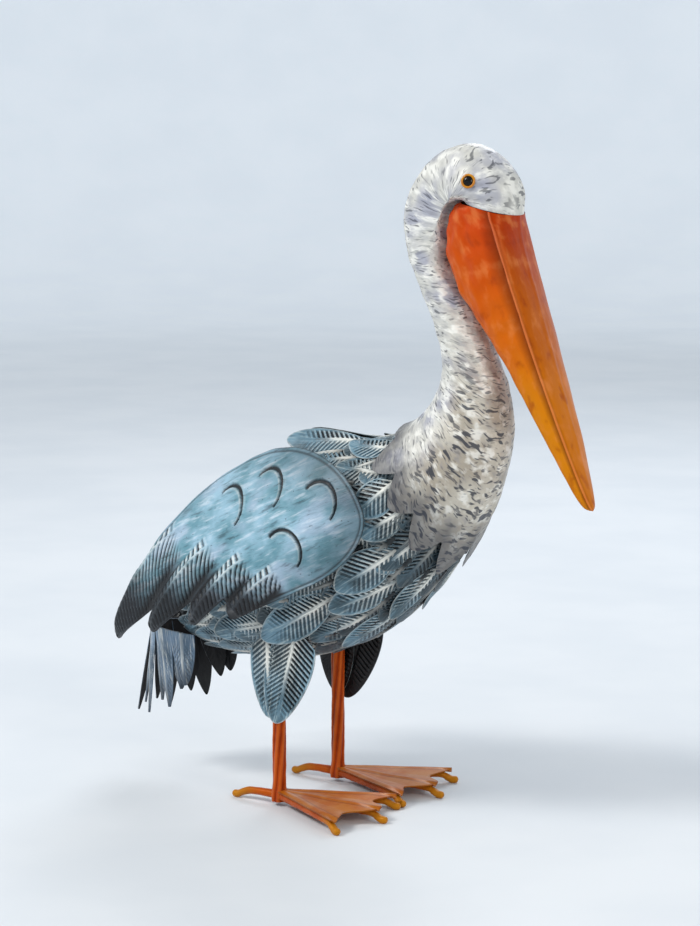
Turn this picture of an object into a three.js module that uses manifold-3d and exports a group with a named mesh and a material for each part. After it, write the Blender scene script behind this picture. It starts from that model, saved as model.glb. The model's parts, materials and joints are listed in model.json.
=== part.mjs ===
// A garden statue of a standing pelican, cut, hammered and welded from painted sheet steel.
// Millimetres, +Z up. The bird faces +X and its left side is +Y. It stands on the tips of its
// toes at z = 0, with the middle of its outline over the origin.
import * as THREE from "three";
import { mergeVertices, toCreasedNormals } from "three/addons/utils/BufferGeometryUtils.js";
import Module from "manifold-3d";

const wasm = await Module();
wasm.setup();

// Driving dimensions.
const LEG_SPREAD = 108; // between the two legs
const LEG_ROD = 14; // diameter of a leg
const TOE_ROD = 8; // diameter of a toe
const SHEET = 1.2; // thickness of the wings, web and tail
const LEAF = 0.9; // thickness of a feather
const GAP = 0.3; // between pieces that touch
const PLUMAGE = 5; // how far the trunk lies inside the outer faces of its feathers

// Sections of the trunk, neck and head, from the rump round to the root of the bill. Each has
// the x and z of its point on the back, the x and z of its point below, its half breadth, and
// the place where it is that broad, as a share of the way from back to below.
const SECTIONS = [
  [-170, 204, -160, 166, 15, 0.5], // rump
  [-140, 258, -126, 144, 44, 0.5],
  [-88, 318, -70, 137, 68, 0.5],
  [-22, 356, 10, 144, 84, 0.5],
  [38, 371, 82, 171, 89, 0.5], // broadest, above the legs
  [88, 379, 138, 217, 84, 0.5],
  [121, 390, 182, 270, 72, 0.5], // breast
  [143, 407, 214, 323, 57, 0.5],
  [156, 426, 230, 374, 44, 0.5],
  [162, 447, 230, 417, 35, 0.5],
  [159, 471, 219, 455, 29.5, 0.5], // foot of the neck
  [150, 496, 203, 489, 26.5, 0.5],
  [136, 525, 184, 522, 25, 0.5],
  [121, 557, 167, 556, 25, 0.62],
  [115, 592, 170, 587, 28, 0.8],
  [127, 630, 178, 605, 32, 0.87], // nape
  [158, 660, 184, 610, 36, 0.86],
  [193, 667, 186, 611.5, 40, 0.8], // crown
  [223, 651, 187.5, 612, 38.5, 0.73],
  [241, 626, 188, 612.5, 35, 0.65],
  [242, 600, 188, 612.5, 30, 0.55], // forehead, at the root of the bill
];
const CHEEK = 2; // how much squarer a section is below its broadest place, where that is low
const TRUNK_END = 6.33; // in sections, where the breast begins
const BREAST_END = 9.5;
const NECK_END = 14.2;
const HEAD_END = SECTIONS.length - 1;

// Sections of the bill, from its root to its tip. Each has the x and z of the ridge, the x and z
// of the keel, the place of the jaw's edge from ridge to keel, and the half breadth there.
const BILL_SECTIONS = [
  [241, 600, 188, 612, 0.33, 30], // root
  [242, 588, 173, 593, 0.19, 31],
  [245, 573, 171, 565, 0.14, 31.5], // deepest
  [252, 551, 181, 534, 0.13, 31],
  [260, 527, 201, 506, 0.14, 30],
  [272, 490, 226, 473, 0.16, 28],
  [293, 427, 262, 416, 0.19, 23],
  [311, 372, 291, 366, 0.21, 16],
  [322, 337, 309, 334, 0.22, 9],
  [325, 324, 320, 322, 0.25, 4], // tip
];

// --- Solids -----------------------------------------------------------------------------------

function signedVolume(geometry) {
  const at = geometry.attributes.position;
  const corners = [new THREE.Vector3(), new THREE.Vector3(), new THREE.Vector3()];
  let volume = 0;
  for (let first = 0; first < geometry.index.count; first += 3) {
    corners.forEach((corner, i) => corner.fromBufferAttribute(at, geometry.index.getX(first + i)));
    volume += corners[0].dot(corners[1].cross(corners[2])) / 6;
  }
  return volume;
}

// A closed geometry as a manifold-3d solid, with its faces turned outwards.
function solid(geometry) {
  const bare = geometry.clone();
  bare.deleteAttribute("normal");
  bare.deleteAttribute("uv");
  const merged = mergeVertices(bare, 1e-3);
  const triVerts = new Uint32Array(merged.index.array);
  if (signedVolume(merged) < 0) triVerts.reverse();
  const vertProperties = new Float32Array(merged.attributes.position.array);
  return new wasm.Manifold(new wasm.Mesh({ numProp: 3, vertProperties, triVerts }));
}

function join(...parts) {
  return parts.reduce((whole, part) => whole.add(part));
}

// The solid's surface as a geometry, smooth except across its sharp edges.
function surface(part) {
  const mesh = part.getMesh();
  const geometry = new THREE.BufferGeometry();
  geometry.setAttribute("position", new THREE.BufferAttribute(mesh.vertProperties, 3));
  geometry.setIndex(new THREE.BufferAttribute(mesh.triVerts, 1));
  return toCreasedNormals(geometry, 0.7);
}

// Moves every vertex of a geometry to the place that the function gives for it.
function bend(geometry, place) {
  const at = geometry.attributes.position;
  for (let i = 0; i < at.count; i += 1) {
    const spot = place(new THREE.Vector3().fromBufferAttribute(at, i));
    at.setXYZ(i, spot.x, spot.y, spot.z);
  }
  return geometry;
}

// A closed length of a tube whose wall is wall(s, angle), for s between two sections.
function tube(wall, from, to, around, along) {
  const geometry = new THREE.CylinderGeometry(1, 1, 1, around, along);
  return bend(geometry, (p) => {
    const s = THREE.MathUtils.lerp(from, to, p.y + 0.5);
    const middle = wall(s, 0).add(wall(s, Math.PI)).multiplyScalar(0.5);
    return middle.lerp(wall(s, Math.atan2(p.x, p.z)), Math.hypot(p.x, p.z));
  });
}

// A thin leaf. skin(along, across, out) places it: along runs from 0 to 1, across from -1 to 1,
// and out is the height over the leaf's middle layer.
function leaf(skin, thickness, along, across) {
  const geometry = new THREE.BoxGeometry(2, 2, thickness, along, across, 1);
  return bend(geometry, (p) => {
    const x = p.x * Math.sqrt(1 - (p.y * p.y) / 2);
    const y = p.y * Math.sqrt(1 - (p.x * p.x) / 2);
    return skin((x + 1) / 2, y, p.z);
  });
}

// --- Body, neck and head ----------------------------------------------------------------------

// The smooth line through a list of pairs, as a function of the section number.
function rail(pairs) {
  const curve = new THREE.SplineCurve(pairs.map(([x, y]) => new THREE.Vector2(x, y)));
  const last = pairs.length - 1;
  return (s) => curve.getPoint(THREE.MathUtils.clamp(s / last, 0, 1));
}

const backLine = rail(SECTIONS.map(([x, z]) => [x, z]));
const bellyLine = rail(SECTIONS.map(([, , x, z]) => [x, z]));
const breadthLine = rail(SECTIONS.map(([, , , , half, share]) => [half, share]));

// A point of the body: angle 0 is its back, PI its belly, and +90 degrees its left side.
function bodyPoint(s, angle) {
  const [back, belly, breadth] = [backLine(s), bellyLine(s), breadthLine(s)];
  const middle = back.clone().lerp(belly, breadth.y);
  const below = Math.cos(angle) < 0;
  const power = below ? 1 - CHEEK * (breadth.y - 0.5) : 1;
  const reach = (below ? belly : back).sub(middle).multiplyScalar(Math.abs(Math.cos(angle)) ** power);
  const y = breadth.x * Math.abs(Math.sin(angle)) ** power * Math.sign(Math.sin(angle));
  return new THREE.Vector3(middle.x + reach.x, y, middle.y + reach.y);
}

const STEP = 1e-3;

function bodySlopes(s, angle) {
  const alongS = bodyPoint(s + STEP, angle).sub(bodyPoint(s - STEP, angle));
  const alongAngle = bodyPoint(s, angle + STEP).sub(bodyPoint(s, angle - STEP));
  return [alongS.divideScalar(2 * STEP), alongAngle.divideScalar(2 * STEP)];
}

function bodyNormal(s, angle) {
  const [alongS, alongAngle] = bodySlopes(s, angle);
  return alongS.cross(alongAngle).normalize();
}

function overBody(s, angle, lift) {
  return bodyPoint(s, angle).addScaledVector(bodyNormal(s, angle), lift);
}

// The point of the body nearest to a target, raised by lift, from a first guess at its place.
function dropOnBody(target, s, angle, lift) {
  for (let pass = 0; pass < 8; pass += 1) {
    const [u, v] = bodySlopes(s, angle);
    const gap = target.clone().sub(bodyPoint(s, angle));
    const [uu, uv, vv] = [u.dot(u), u.dot(v), v.dot(v)];
    const share = uu * vv - uv * uv;
    s += (vv * gap.dot(u) - uv * gap.dot(v)) / share;
    angle += (uu * gap.dot(v) - uv * gap.dot(u)) / share;
  }
  return overBody(s, angle, lift);
}

// --- Pieces -----------------------------------------------------------------------------------

const pelican = new THREE.Group();

function add(name, part, color, roughness, metalness = 0.1) {
  const material = new THREE.MeshStandardMaterial({ color, roughness, metalness });
  const mesh = new THREE.Mesh(surface(part), material);
  mesh.name = name;
  pelican.add(mesh);
}

function mirrored(part) {
  return part.mirror([0, 1, 0]);
}

// A piece of the left side and its mirror image on the right.
function addPair(name, part, ...look) {
  add(`${name}_left`, part, ...look);
  add(`${name}_right`, mirrored(part), ...look);
}

// The collar: the rear edge of the breast's sheet, cut in pointed flaps that lie over the
// feathers. The flaps of one side, from the back to the belly, are all a pitch wide, in degrees.
// Each reaches from the line of the notches back to the section of its tip.
const COLLAR = { pitch: 36, notch: 6.15, tips: [6, 5.5, 5.75, 5.7, 5.6] };
const COLLAR_ROOT = 6.6;
const COLLAR_LIFT = 1.5;

// The section where the collar ends.
function collarEdge(angle) {
  const place = Math.abs(angle) / COLLAR.pitch;
  const flap = Math.min(Math.floor(place), COLLAR.tips.length - 1);
  const aside = Math.abs(2 * (place - flap) - 1);
  return THREE.MathUtils.lerp(COLLAR.tips[flap], COLLAR.notch, aside);
}

function collar() {
  const steps = 8 * COLLAR.tips.length; // round the whole body, four to a flap
  const ring = new THREE.TorusGeometry(4, 1, 4, steps);
  return bend(ring, (p) => {
    const angle = THREE.MathUtils.radToDeg(Math.atan2(p.y, p.x));
    const [out, up] = [Math.hypot(p.x, p.y) - 4, p.z];
    const atRoot = out < -0.5 || up < -0.5;
    const outer = out > 0.5 || up < -0.5;
    const rise = (atRoot ? 0 : COLLAR_LIFT) - (outer ? 0 : SHEET);
    const s = atRoot ? COLLAR_ROOT : collarEdge(angle);
    return overBody(s, THREE.MathUtils.degToRad(angle), rise);
  });
}

// The trunk under its larger feathers is a coat of small ones in rows, like tiles. Each row has
// the section that its tips reach back to.
const ROWS = [0.6, 1.2, 1.75, 2.25, 2.75, 3.3, 3.85, 4.45, 5.1, 5.75];
const ROW_COUNT = 16; // feathers in a row, round the whole body
const SCALLOP = 0.26; // how far the tips reach behind the notches, in sections
const TILE = 4.5; // how far the tips of one row stand over the roots of the next
const BELLY = [108, 126]; // angles from the back where the rows fade out, above the legs

// The section where a row ends. The feathers of one row lie between those of the next.
function rowEnd(row, angle) {
  const place = (angle / (2 * Math.PI)) * ROW_COUNT + (row % 2) / 2;
  const aside = 2 * Math.abs(place - Math.floor(place) - 0.5);
  return ROWS[row] + SCALLOP * (1 - Math.sqrt(1 - aside * aside));
}

// The trunk, grown by a margin.
function trunkSolid(margin) {
  const last = 2 * ROWS.length + 1;
  const geometry = new THREE.CylinderGeometry(1, 1, 1, 4 * ROW_COUNT, last);
  bend(geometry, (p) => {
    const ring = Math.round((p.y + 0.5) * last);
    const angle = Math.atan2(p.x, p.z);
    const row = Math.floor((ring - 1) / 2);
    const low = ring % 2 === 1 && ring < last; // the roots, under the tips of the row in front
    const ends = ring === 0 || ring === last;
    const s = ends ? (ring / last) * TRUNK_END : rowEnd(row, angle);
    const fade = THREE.MathUtils.smoothstep(Math.abs(THREE.MathUtils.radToDeg(angle)), ...BELLY);
    const lift = margin - PLUMAGE - (low ? TILE * (1 - fade) : 0);
    const middle = bodyPoint(s, 0).add(bodyPoint(s, Math.PI)).multiplyScalar(0.5);
    return middle.lerp(overBody(s, angle, lift), Math.hypot(p.x, p.z));
  });
  return solid(geometry);
}

function buildBody() {
  add("trunk", trunkSolid(0), 0x2c3a44, 0.5);
  const breast = solid(tube(bodyPoint, TRUNK_END + 0.02, BREAST_END, 28, 6));
  add("breast", join(breast, solid(collar())), 0xd8d2c8, 0.5);
  add("neck", solid(tube(bodyPoint, BREAST_END + 0.04, NECK_END, 20, 9)), 0xdcd6cb, 0.5);
}

// --- Head, eyes and bill ----------------------------------------------------------------------

const EYE = { section: 18.0, angle: 70.0, ring: 14, ball: 9.4, pocket: 3 };

// Lays a turned piece in the left of the head: its axis, +Y, becomes the way out of the head.
function intoHead(geometry) {
  const angle = THREE.MathUtils.degToRad(EYE.angle);
  const out = bodyNormal(EYE.section, angle);
  const turn = new THREE.Quaternion().setFromUnitVectors(new THREE.Vector3(0, 1, 0), out);
  return solid(geometry.applyQuaternion(turn).translate(...bodyPoint(EYE.section, angle)));
}

function turned(profile, around) {
  return new THREE.LatheGeometry(profile.map(([x, y]) => new THREE.Vector2(x, y)), around);
}

function buildHead() {
  const floor = -EYE.pocket;
  const wide = EYE.ring / 2;
  const ball = EYE.ball / 2;
  const pocket = intoHead(
    turned([[0, floor], [wide + GAP, floor], [wide + GAP, 6], [0, 6]], 16),
  );
  const ring = [
    [ball + GAP, floor + GAP],
    [wide, floor + GAP],
    [wide, 0.8],
    [(wide + ball) / 2, 1.6],
    [ball + GAP, 0.8],
    [ball + GAP, floor + GAP],
  ];
  const dome = [[0, floor + GAP], [ball, floor + GAP], [ball, 0.6], [ball * 0.7, 2.2], [0, 3]];
  const head = solid(tube(bodyPoint, NECK_END + 0.04, HEAD_END, 24, 12));
  add("head", head.subtract(pocket).subtract(mirrored(pocket)), 0xdedad0, 0.5);
  addPair("eye_ring", intoHead(turned(ring, 16)), 0xc87820, 0.4);
  addPair("eye", intoHead(turned(dome, 16)), 0x0c0a08, 0.15);
}

const POUCH = 0.42; // how far the pouch's section is from round (1) to square (0)

const ridgeLine = rail(BILL_SECTIONS.map(([x, z]) => [x, z]));
const keelLine = rail(BILL_SECTIONS.map(([, , x, z]) => [x, z]));
const jawLine = rail(BILL_SECTIONS.map(([, , , , share], s) => [s, share]));
const gapeLine = rail(BILL_SECTIONS.map(([, , , , , half], s) => [s, half]));

// A point of one jaw. The upper jaw is a low arch and the lower jaw, with its pouch, a deep keel
// with full sides; both are flat along the edge where they meet.
function jawPoint(s, angle, upper) {
  const ridge = ridgeLine(s);
  const keel = keelLine(s);
  const down = keel.clone().sub(ridge);
  const edge = ridge.clone().addScaledVector(down, jawLine(s).y);
  const end = upper ? ridge : keel;
  const reach = end.sub(edge);
  const power = upper ? 1 : POUCH;
  const share = Math.max(Math.cos(angle), 0) ** power;
  reach.setLength(Math.max(reach.length() - GAP / 2, 0) * share);
  edge.addScaledVector(down.normalize(), upper ? -GAP / 2 : GAP / 2).add(reach);
  const side = Math.abs(Math.sin(angle)) ** power * Math.sign(Math.sin(angle));
  return new THREE.Vector3(edge.x, gapeLine(s).y * side, edge.y);
}

function buildBill() {
  const s = (share) => (BILL_SECTIONS.length - 1) * share ** 1.4; // closer together at the root
  const upper = tube((share, angle) => jawPoint(s(share), angle, true), 0, 1, 14, 14);
  const lower = tube((share, angle) => jawPoint(s(share), angle, false), 0, 1, 20, 18);
  add("bill_upper", solid(upper), 0xd8641c, 0.35);
  add("bill_lower", solid(lower), 0xd8641c, 0.35);
}

// --- Legs and feet ----------------------------------------------------------------------------

const LEG_TOP = 200; // inside the trunk, which the leg is cut back to
const TOE_LEVEL = 10; // height of a toe's middle where it leaves the leg
const FLUTES = 6;
const TWIST = 2.6; // turn of the flutes over the length of the leg, in radians
const KNUCKLE = 20; // from the leg's axis to where a toe begins
// Each front toe and the hind toe: its heading from straight ahead, and its reach from the leg.
const TOES = {
  inner: { heading: -24, reach: 124 },
  middle: { heading: 0, reach: 129 },
  outer: { heading: 28.5, reach: 126 },
  hind: { heading: 180, reach: 58 },
};
const WEB_REACH = 117;
const WEB_DIP = 17; // how far the web's front edge curves in between two toes

function heading(degrees, distance, z) {
  const angle = THREE.MathUtils.degToRad(degrees);
  return new THREE.Vector3(distance * Math.cos(angle), distance * Math.sin(angle), z);
}

// A toe over the origin: a round bar that curves down to the floor, its end rounded over.
function toeBar(toe) {
  const rest = TOE_ROD / 2 - 0.6; // the tip is filed flat where it stands on the floor
  const stations = [
    [KNUCKLE + GAP, TOE_LEVEL],
    [toe.reach * 0.6, TOE_LEVEL],
    [toe.reach - 20, TOE_LEVEL - 0.6],
    [toe.reach - 13, TOE_LEVEL - 3],
    [toe.reach - 7, rest],
    [toe.reach - 2, rest],
    [toe.reach, rest],
  ];
  const last = stations.length - 1;
  const geometry = new THREE.CylinderGeometry(1, 1, 1, 8, last);
  return bend(geometry, (p) => {
    const step = Math.round((p.y + 0.5) * last);
    const radius = (TOE_ROD / 2) * (step === last ? 0.6 : 1);
    const [reach, z] = stations[step];
    const spot = heading(toe.heading, reach, z + radius * p.z);
    return spot.add(heading(toe.heading + 90, radius * p.x, 0));
  });
}

function disc(radius, corners) {
  const angle = (i) => ((i + 0.5) / corners) * 2 * Math.PI;
  const corner = (i) => new THREE.Vector2(Math.cos(angle(i)), Math.sin(angle(i)));
  return new THREE.Shape(Array.from({ length: corners }, (_, i) => corner(i).multiplyScalar(radius)));
}

// A leg over the origin: a fluted bar, twisted the same way on both sides of the bird.
function legRod() {
  const rod = new THREE.CylinderGeometry(1, 1, 1, FLUTES * 2, 8);
  bend(rod, (p) => {
    const flute = Math.atan2(p.x, p.z);
    const share = p.y + 0.5;
    const groove = 0.95 + 0.05 * Math.cos(FLUTES * flute);
    const radius = (LEG_ROD / 2) * groove * Math.hypot(p.x, p.z);
    const angle = flute + TWIST * share;
    const z = THREE.MathUtils.lerp(TOE_LEVEL, LEG_TOP, share);
    return new THREE.Vector3(radius * Math.cos(angle), radius * Math.sin(angle), z);
  });
  return solid(rod);
}

// The short stubs at the foot of the left leg that the toes are welded to.
function toeStubs() {
  const stubs = Object.values(TOES).map((toe) => {
    const ends = [0, KNUCKLE].map((distance) => heading(toe.heading, distance, TOE_LEVEL));
    const path = new THREE.LineCurve3(...ends);
    return solid(new THREE.ExtrudeGeometry(disc(TOE_ROD / 2, 8), { extrudePath: path, steps: 1 }));
  });
  return join(...stubs);
}

// The room that the left leg takes up below the trunk.
function legRoom(margin) {
  const radius = LEG_ROD / 2 + margin;
  const room = new THREE.CylinderGeometry(radius, radius, LEG_TOP, 12).rotateX(Math.PI / 2);
  room.translate(0, LEG_SPREAD / 2, LEG_TOP / 2);
  return solid(room).subtract(trunkSolid(GAP));
}

// The web: a sheet laid over the front toes, with a corner on each and a curved edge between.
function webSolid() {
  const [inner, outer] = [TOES.inner.heading, TOES.outer.heading];
  const margin = TOE_ROD / 2 + 1;
  const at = (degrees, distance, aside = 0) => {
    const spot = heading(degrees, distance, 0).add(heading(degrees + 90, aside, 0));
    return [spot.x, spot.y];
  };
  const notch = LEG_ROD / 2 + GAP;
  const dip = (from, to) => at((from + to) / 2, WEB_REACH - 2 * WEB_DIP);
  const shape = new THREE.Shape();
  shape.moveTo(...at(inner, notch, -margin));
  shape.lineTo(...at(inner, WEB_REACH, -margin));
  shape.lineTo(...at(inner, WEB_REACH, margin));
  shape.quadraticCurveTo(...dip(inner, 0), ...at(0, WEB_REACH + 3, -margin));
  shape.lineTo(...at(0, WEB_REACH + 3, margin));
  shape.quadraticCurveTo(...dip(0, outer), ...at(outer, WEB_REACH, -margin));
  shape.lineTo(...at(outer, WEB_REACH, margin));
  shape.lineTo(...at(outer, notch, margin));
  shape.lineTo(...at(0, notch, 0));
  shape.closePath();
  const sheet = new THREE.ExtrudeGeometry(shape, { depth: SHEET, bevelEnabled: false, curveSegments: 6 });
  return solid(sheet.translate(0, 0, TOE_LEVEL + TOE_ROD / 2 + GAP));
}

function buildLegs() {
  const orange = 0xb8551c;
  const floor = solid(new THREE.BoxGeometry(600, 600, 20).translate(0, 0, -10));
  const atLeft = (part) => part.translate([0, LEG_SPREAD / 2, 0]);
  const atRight = (part) => part.translate([0, -LEG_SPREAD / 2, 0]);
  const trunk = trunkSolid(GAP);
  const left = atLeft(join(legRod(), toeStubs())).subtract(trunk);
  const right = atRight(join(legRod(), mirrored(toeStubs()))).subtract(trunk);
  add("leg_left", left, orange, 0.4);
  add("leg_right", right, orange, 0.4);
  addPair("web", atLeft(webSolid()), 0xb87a3c, 0.45);
  for (const [name, toe] of Object.entries(TOES)) {
    addPair(`toe_${name}`, atLeft(solid(toeBar(toe)).subtract(floor)), orange, 0.4);
  }
}

// --- Feathers ---------------------------------------------------------------------------------

// The larger feathers of one side. Each has its root and tip, as section and angle from the
// back, its breadth, and its layer: how many leaves it lies over. Some are rolled, by the height
// of the upper edge over the middle.
const FEATHERS = {
  saddle: { root: [5, 12], tip: [3.2, 12], breadth: 32, layer: 8, roll: 13 },
  mantle: { root: [6, 40], tip: [4.6, 20], breadth: 34, layer: 3 },
  shoulder: { root: [5.7, 60], tip: [4.5, 40], breadth: 36, layer: 0 },
  collar_upper: { root: [6.1, 75], tip: [5, 80], breadth: 40, layer: 2 },
  collar_lower: { root: [6, 100], tip: [5, 95], breadth: 35, layer: 0 },
  flank_upper: { root: [5.5, 120], tip: [4.3, 115], breadth: 42, layer: 5 },
  flank_middle: { root: [5.2, 140], tip: [4, 125], breadth: 40, layer: 2 },
  flank_lower: { root: [4.2, 120], tip: [2.8, 130], breadth: 40, layer: 6, roll: -9 },
  belly_front: { root: [5.7, 165], tip: [4.6, 160], breadth: 36, layer: 2 },
  belly_middle: { root: [5, 165], tip: [3.7, 160], breadth: 36, layer: 1 },
  vent_front: { root: [3, 125], tip: [1.9, 130], breadth: 40, layer: 2 },
  vent_rear: { root: [2.3, 110], tip: [0.8, 140], breadth: 36, layer: 0 },
};
const ROOT_LIFT = 0.8 - PLUMAGE;
const TIP_LIFT = -1.8;
const LAYER_STEP = 1.4;

function featherSolid(feather) {
  const spot = ([s, angle]) => [s, THREE.MathUtils.degToRad(angle)];
  const [root, tip] = [spot(feather.root), spot(feather.tip)];
  const between = (share) => root.map((value, i) => THREE.MathUtils.lerp(value, tip[i], share));
  const from = bodyPoint(...root);
  const to = bodyPoint(...tip);
  const across = bodyNormal(...between(0.5)).cross(to.clone().sub(from)).normalize();
  const rise = TIP_LIFT - ROOT_LIFT + LAYER_STEP * feather.layer;
  const skin = (along, aside, out) => {
    const target = from.clone().lerp(to, along);
    target.addScaledVector(across, (aside * feather.breadth) / 2);
    const roll = (feather.roll ?? 0) * aside * along;
    return dropOnBody(target, ...between(along), ROOT_LIFT + rise * along + roll + out);
  };
  return solid(leaf(skin, LEAF, 5, 2));
}

// The two feathers that hang over the top of each leg, for the left side: root, tip, breadth.
const THIGH = {
  thigh_front: { root: [29, 64.6, 188], tip: [4, 65, 87], breadth: 62 },
  thigh_rear: { root: [-8, 62.6, 180], tip: [-6, 62.6, 91], breadth: 54 },
};
const THIGH_TAPER = 0.45;
const THIGH_CUP = 2; // how far a root's edges curve in towards the leg

function thighSolid(feather) {
  const from = new THREE.Vector3(...feather.root);
  const to = new THREE.Vector3(...feather.tip);
  const skin = (along, aside, out) => {
    const spot = from.clone().lerp(to, along);
    spot.x += (aside * feather.breadth * (1 - THIGH_TAPER * along)) / 2;
    spot.y += out - THIGH_CUP * aside * aside * (1 - along);
    return spot;
  };
  return solid(leaf(skin, LEAF, 6, 2));
}

function buildFeathers() {
  const blue = 0x6f8fa0;
  const clear = legRoom(2 * GAP);
  for (const [name, feather] of Object.entries(FEATHERS)) {
    addPair(`feather_${name}`, featherSolid(feather).subtract(clear), blue, 0.45);
  }
  const trunk = trunkSolid(GAP);
  for (const [name, feather] of Object.entries(THIGH)) {
    addPair(name, thighSolid(feather).subtract(trunk), blue, 0.45);
  }
}

// --- Wings ------------------------------------------------------------------------------------

// Each wing is a plate beaten to a dome, part of an ellipsoid about the trunk. A place on it is
// (u, v): u runs back and down from the dome's middle towards the tail, v up from it.
const DOME = { x: 30, z: 262, slope: 25.5, u: 300, v: 118, y: 102 };
const CAMBER = 2.5;

// The plate's round front: its foremost point, its crown, and the heel from which its lower
// edge runs on level. Behind the shoulder its top falls away in a long curve to the first finger.
const PLATE = { front: -110, level: 12, crown: 33, top: 112, heel: -24, foot: -36, shoulder: 88 };
const FALL = 64; // how far the top keeps its slope behind the shoulder

// The fingers, from the top one down. The first one's rounded tip has its middle at tip, and each
// next tip is a step on from it, with every step in u shorter by closing than the one before. The
// first crest falls at slope degrees, and each next one at less by easing.
const FINGER = { count: 4, tip: [260, 4], step: [-70, -11], closing: 9, slope: 27, easing: 4 };
// The notch below a finger lies rise above the next one's tip, and back from it by less each time.
// The last notch ends the plate's lower edge, as far behind the heel as run.
const NOTCH = { back: 12, closing: 6, rise: 16, run: 48 };
const TIP_ROUND = 7;
// The fold along each finger: the length of the first one's crest, how much shorter each next
// one is, how far a crest bows up, and the fold's half breadth and height.
const FOLD = { length: 154, shorter: 26, bow: 3, half: 13, height: 2.8, steps: 7 };
// The crescents beaten into the plate are arcs of one radius, from and to an angle in degrees,
// each a groove with a raised lip on both sides.
const CRESCENT = { radius: 21, from: 65, to: 245 };
const CRESCENT_MIDDLES = [
  [46, 68],
  [-6, 68],
  [-66, 34],
  [-12, 5],
];
const LIP = { half: 3.8, height: 0.9, steps: 8 };
const DENT = { half: 1.5, floor: -0.05 };

// An arc of an ellipse about (u, v), turning clockwise.
function clockwise(u, v, halfU, halfV, from, to) {
  return new THREE.EllipseCurve(u, v, halfU, halfV, from, to, true);
}

function tipMiddle(number) {
  const shortened = (FINGER.closing * number * (number - 1)) / 2;
  const [u, v] = FINGER.tip;
  return new THREE.Vector2(u + FINGER.step[0] * number + shortened, v + FINGER.step[1] * number);
}

function notchBelow(number) {
  if (number === FINGER.count - 1) return new THREE.Vector2(PLATE.heel + NOTCH.run, PLATE.foot);
  const back = NOTCH.back - NOTCH.closing * number;
  return tipMiddle(number + 1).add(new THREE.Vector2(-back, NOTCH.rise));
}

function plateOutline() {
  const { front, level, crown, top, heel, foot, shoulder } = PLATE;
  const end = Math.acos((shoulder - crown) / (crown - front));
  const over = clockwise(crown, level, crown - front, top - level, Math.PI, end);
  const under = clockwise(heel, level, heel - front, level - foot, 1.5 * Math.PI, Math.PI);
  const bow = over.getPoint(1).addScaledVector(over.getTangent(1), FALL);
  const points = over.getPoints(8);
  let from = bow;
  for (let number = 0; number < FINGER.count; number++) {
    const tip = tipMiddle(number);
    const notch = notchBelow(number);
    const into = tip.clone().sub(from).angle() + Math.PI / 2;
    const away = notch.clone().sub(tip).angle() + Math.PI / 2;
    const round = clockwise(tip.x, tip.y, TIP_ROUND, TIP_ROUND, into, away);
    if (from === bow) {
      const slope = new THREE.QuadraticBezierCurve(points.at(-1), bow, round.getPoint(0));
      points.push(...slope.getPoints(6).slice(1, -1));
    }
    points.push(...round.getPoints(4), notch);
    from = notch;
  }
  points.push(...under.getPoints(5).slice(0, -1));
  return new THREE.Shape(points);
}

// The crest of the fold along a finger, from the plate to the finger's tip.
function crestLine(number) {
  const slope = THREE.MathUtils.degToRad(FINGER.slope - FINGER.easing * number);
  const tip = tipMiddle(number);
  const rise = new THREE.Vector2(-Math.cos(slope), Math.sin(slope));
  const root = tip.clone().addScaledVector(rise, FOLD.length - number * FOLD.shorter);
  const middle = tip.clone().lerp(root, 0.5);
  middle.add(new THREE.Vector2(rise.y, -rise.x).multiplyScalar(2 * FOLD.bow));
  return new THREE.QuadraticBezierCurve(root, middle, tip);
}

function crescentLine([u, v]) {
  const [from, to] = [CRESCENT.from, CRESCENT.to].map(THREE.MathUtils.degToRad);
  return new THREE.EllipseCurve(u, v, CRESCENT.radius, CRESCENT.radius, from, to);
}

// A place on the dome, raised by lift, for the left wing.
function domePoint(u, v, lift) {
  const slope = THREE.MathUtils.degToRad(DOME.slope);
  const back = new THREE.Vector3(-Math.cos(slope), 0, -Math.sin(slope));
  const up = new THREE.Vector3(-Math.sin(slope), 0, Math.cos(slope));
  const y = DOME.y * Math.sqrt(Math.max(1 - (u / DOME.u) ** 2 - (v / DOME.v) ** 2, 0.02));
  const normal = new THREE.Vector3(0, y / DOME.y ** 2, 0);
  normal.addScaledVector(back, u / DOME.u ** 2).addScaledVector(up, v / DOME.v ** 2);
  const spot = new THREE.Vector3(DOME.x, y, DOME.z);
  spot.addScaledVector(back, u).addScaledVector(up, v);
  return spot.addScaledVector(normal.normalize(), lift);
}

const BLANK = { u: 80, v: 36, halfU: 196, halfV: 80 }; // the sheet that the plate is cut from

// Gives a place on the flat sheet its camber.
function crowned(u, v, z) {
  const share = ((u - BLANK.u) / BLANK.halfU) ** 2 + ((v - BLANK.v) / BLANK.halfV) ** 2;
  return new THREE.Vector3(u, v, z + CAMBER * (1 - share));
}

// A bar along a curve on the flat sheet. half(share) is its half breadth, and its lower and upper
// faces are at low and at high(across), for across from -1 to 1.
function sheetBar(curve, steps, half, low, high) {
  return bend(new THREE.BoxGeometry(2, 1, 2, 2, steps, 1), (p) => {
    const share = p.y + 0.5;
    const way = curve.getTangent(share);
    const aside = new THREE.Vector2(-way.y, way.x).multiplyScalar(p.x * half(share));
    const spot = curve.getPoint(share).add(aside);
    return crowned(spot.x, spot.y, p.z < 0 ? low : high(p.x, share));
  });
}

// The fold along a finger, widest in its middle and fading out at both ends.
function fold(curve) {
  const swell = (share) => Math.sin(Math.PI * (0.06 + 0.84 * share)) ** 0.7;
  const half = (share) => FOLD.half * swell(share);
  const high = (across, share) => 0.5 + FOLD.height * swell(share) * (1 - Math.abs(across));
  return solid(sheetBar(curve, FOLD.steps, half, -0.2, high));
}

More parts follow.
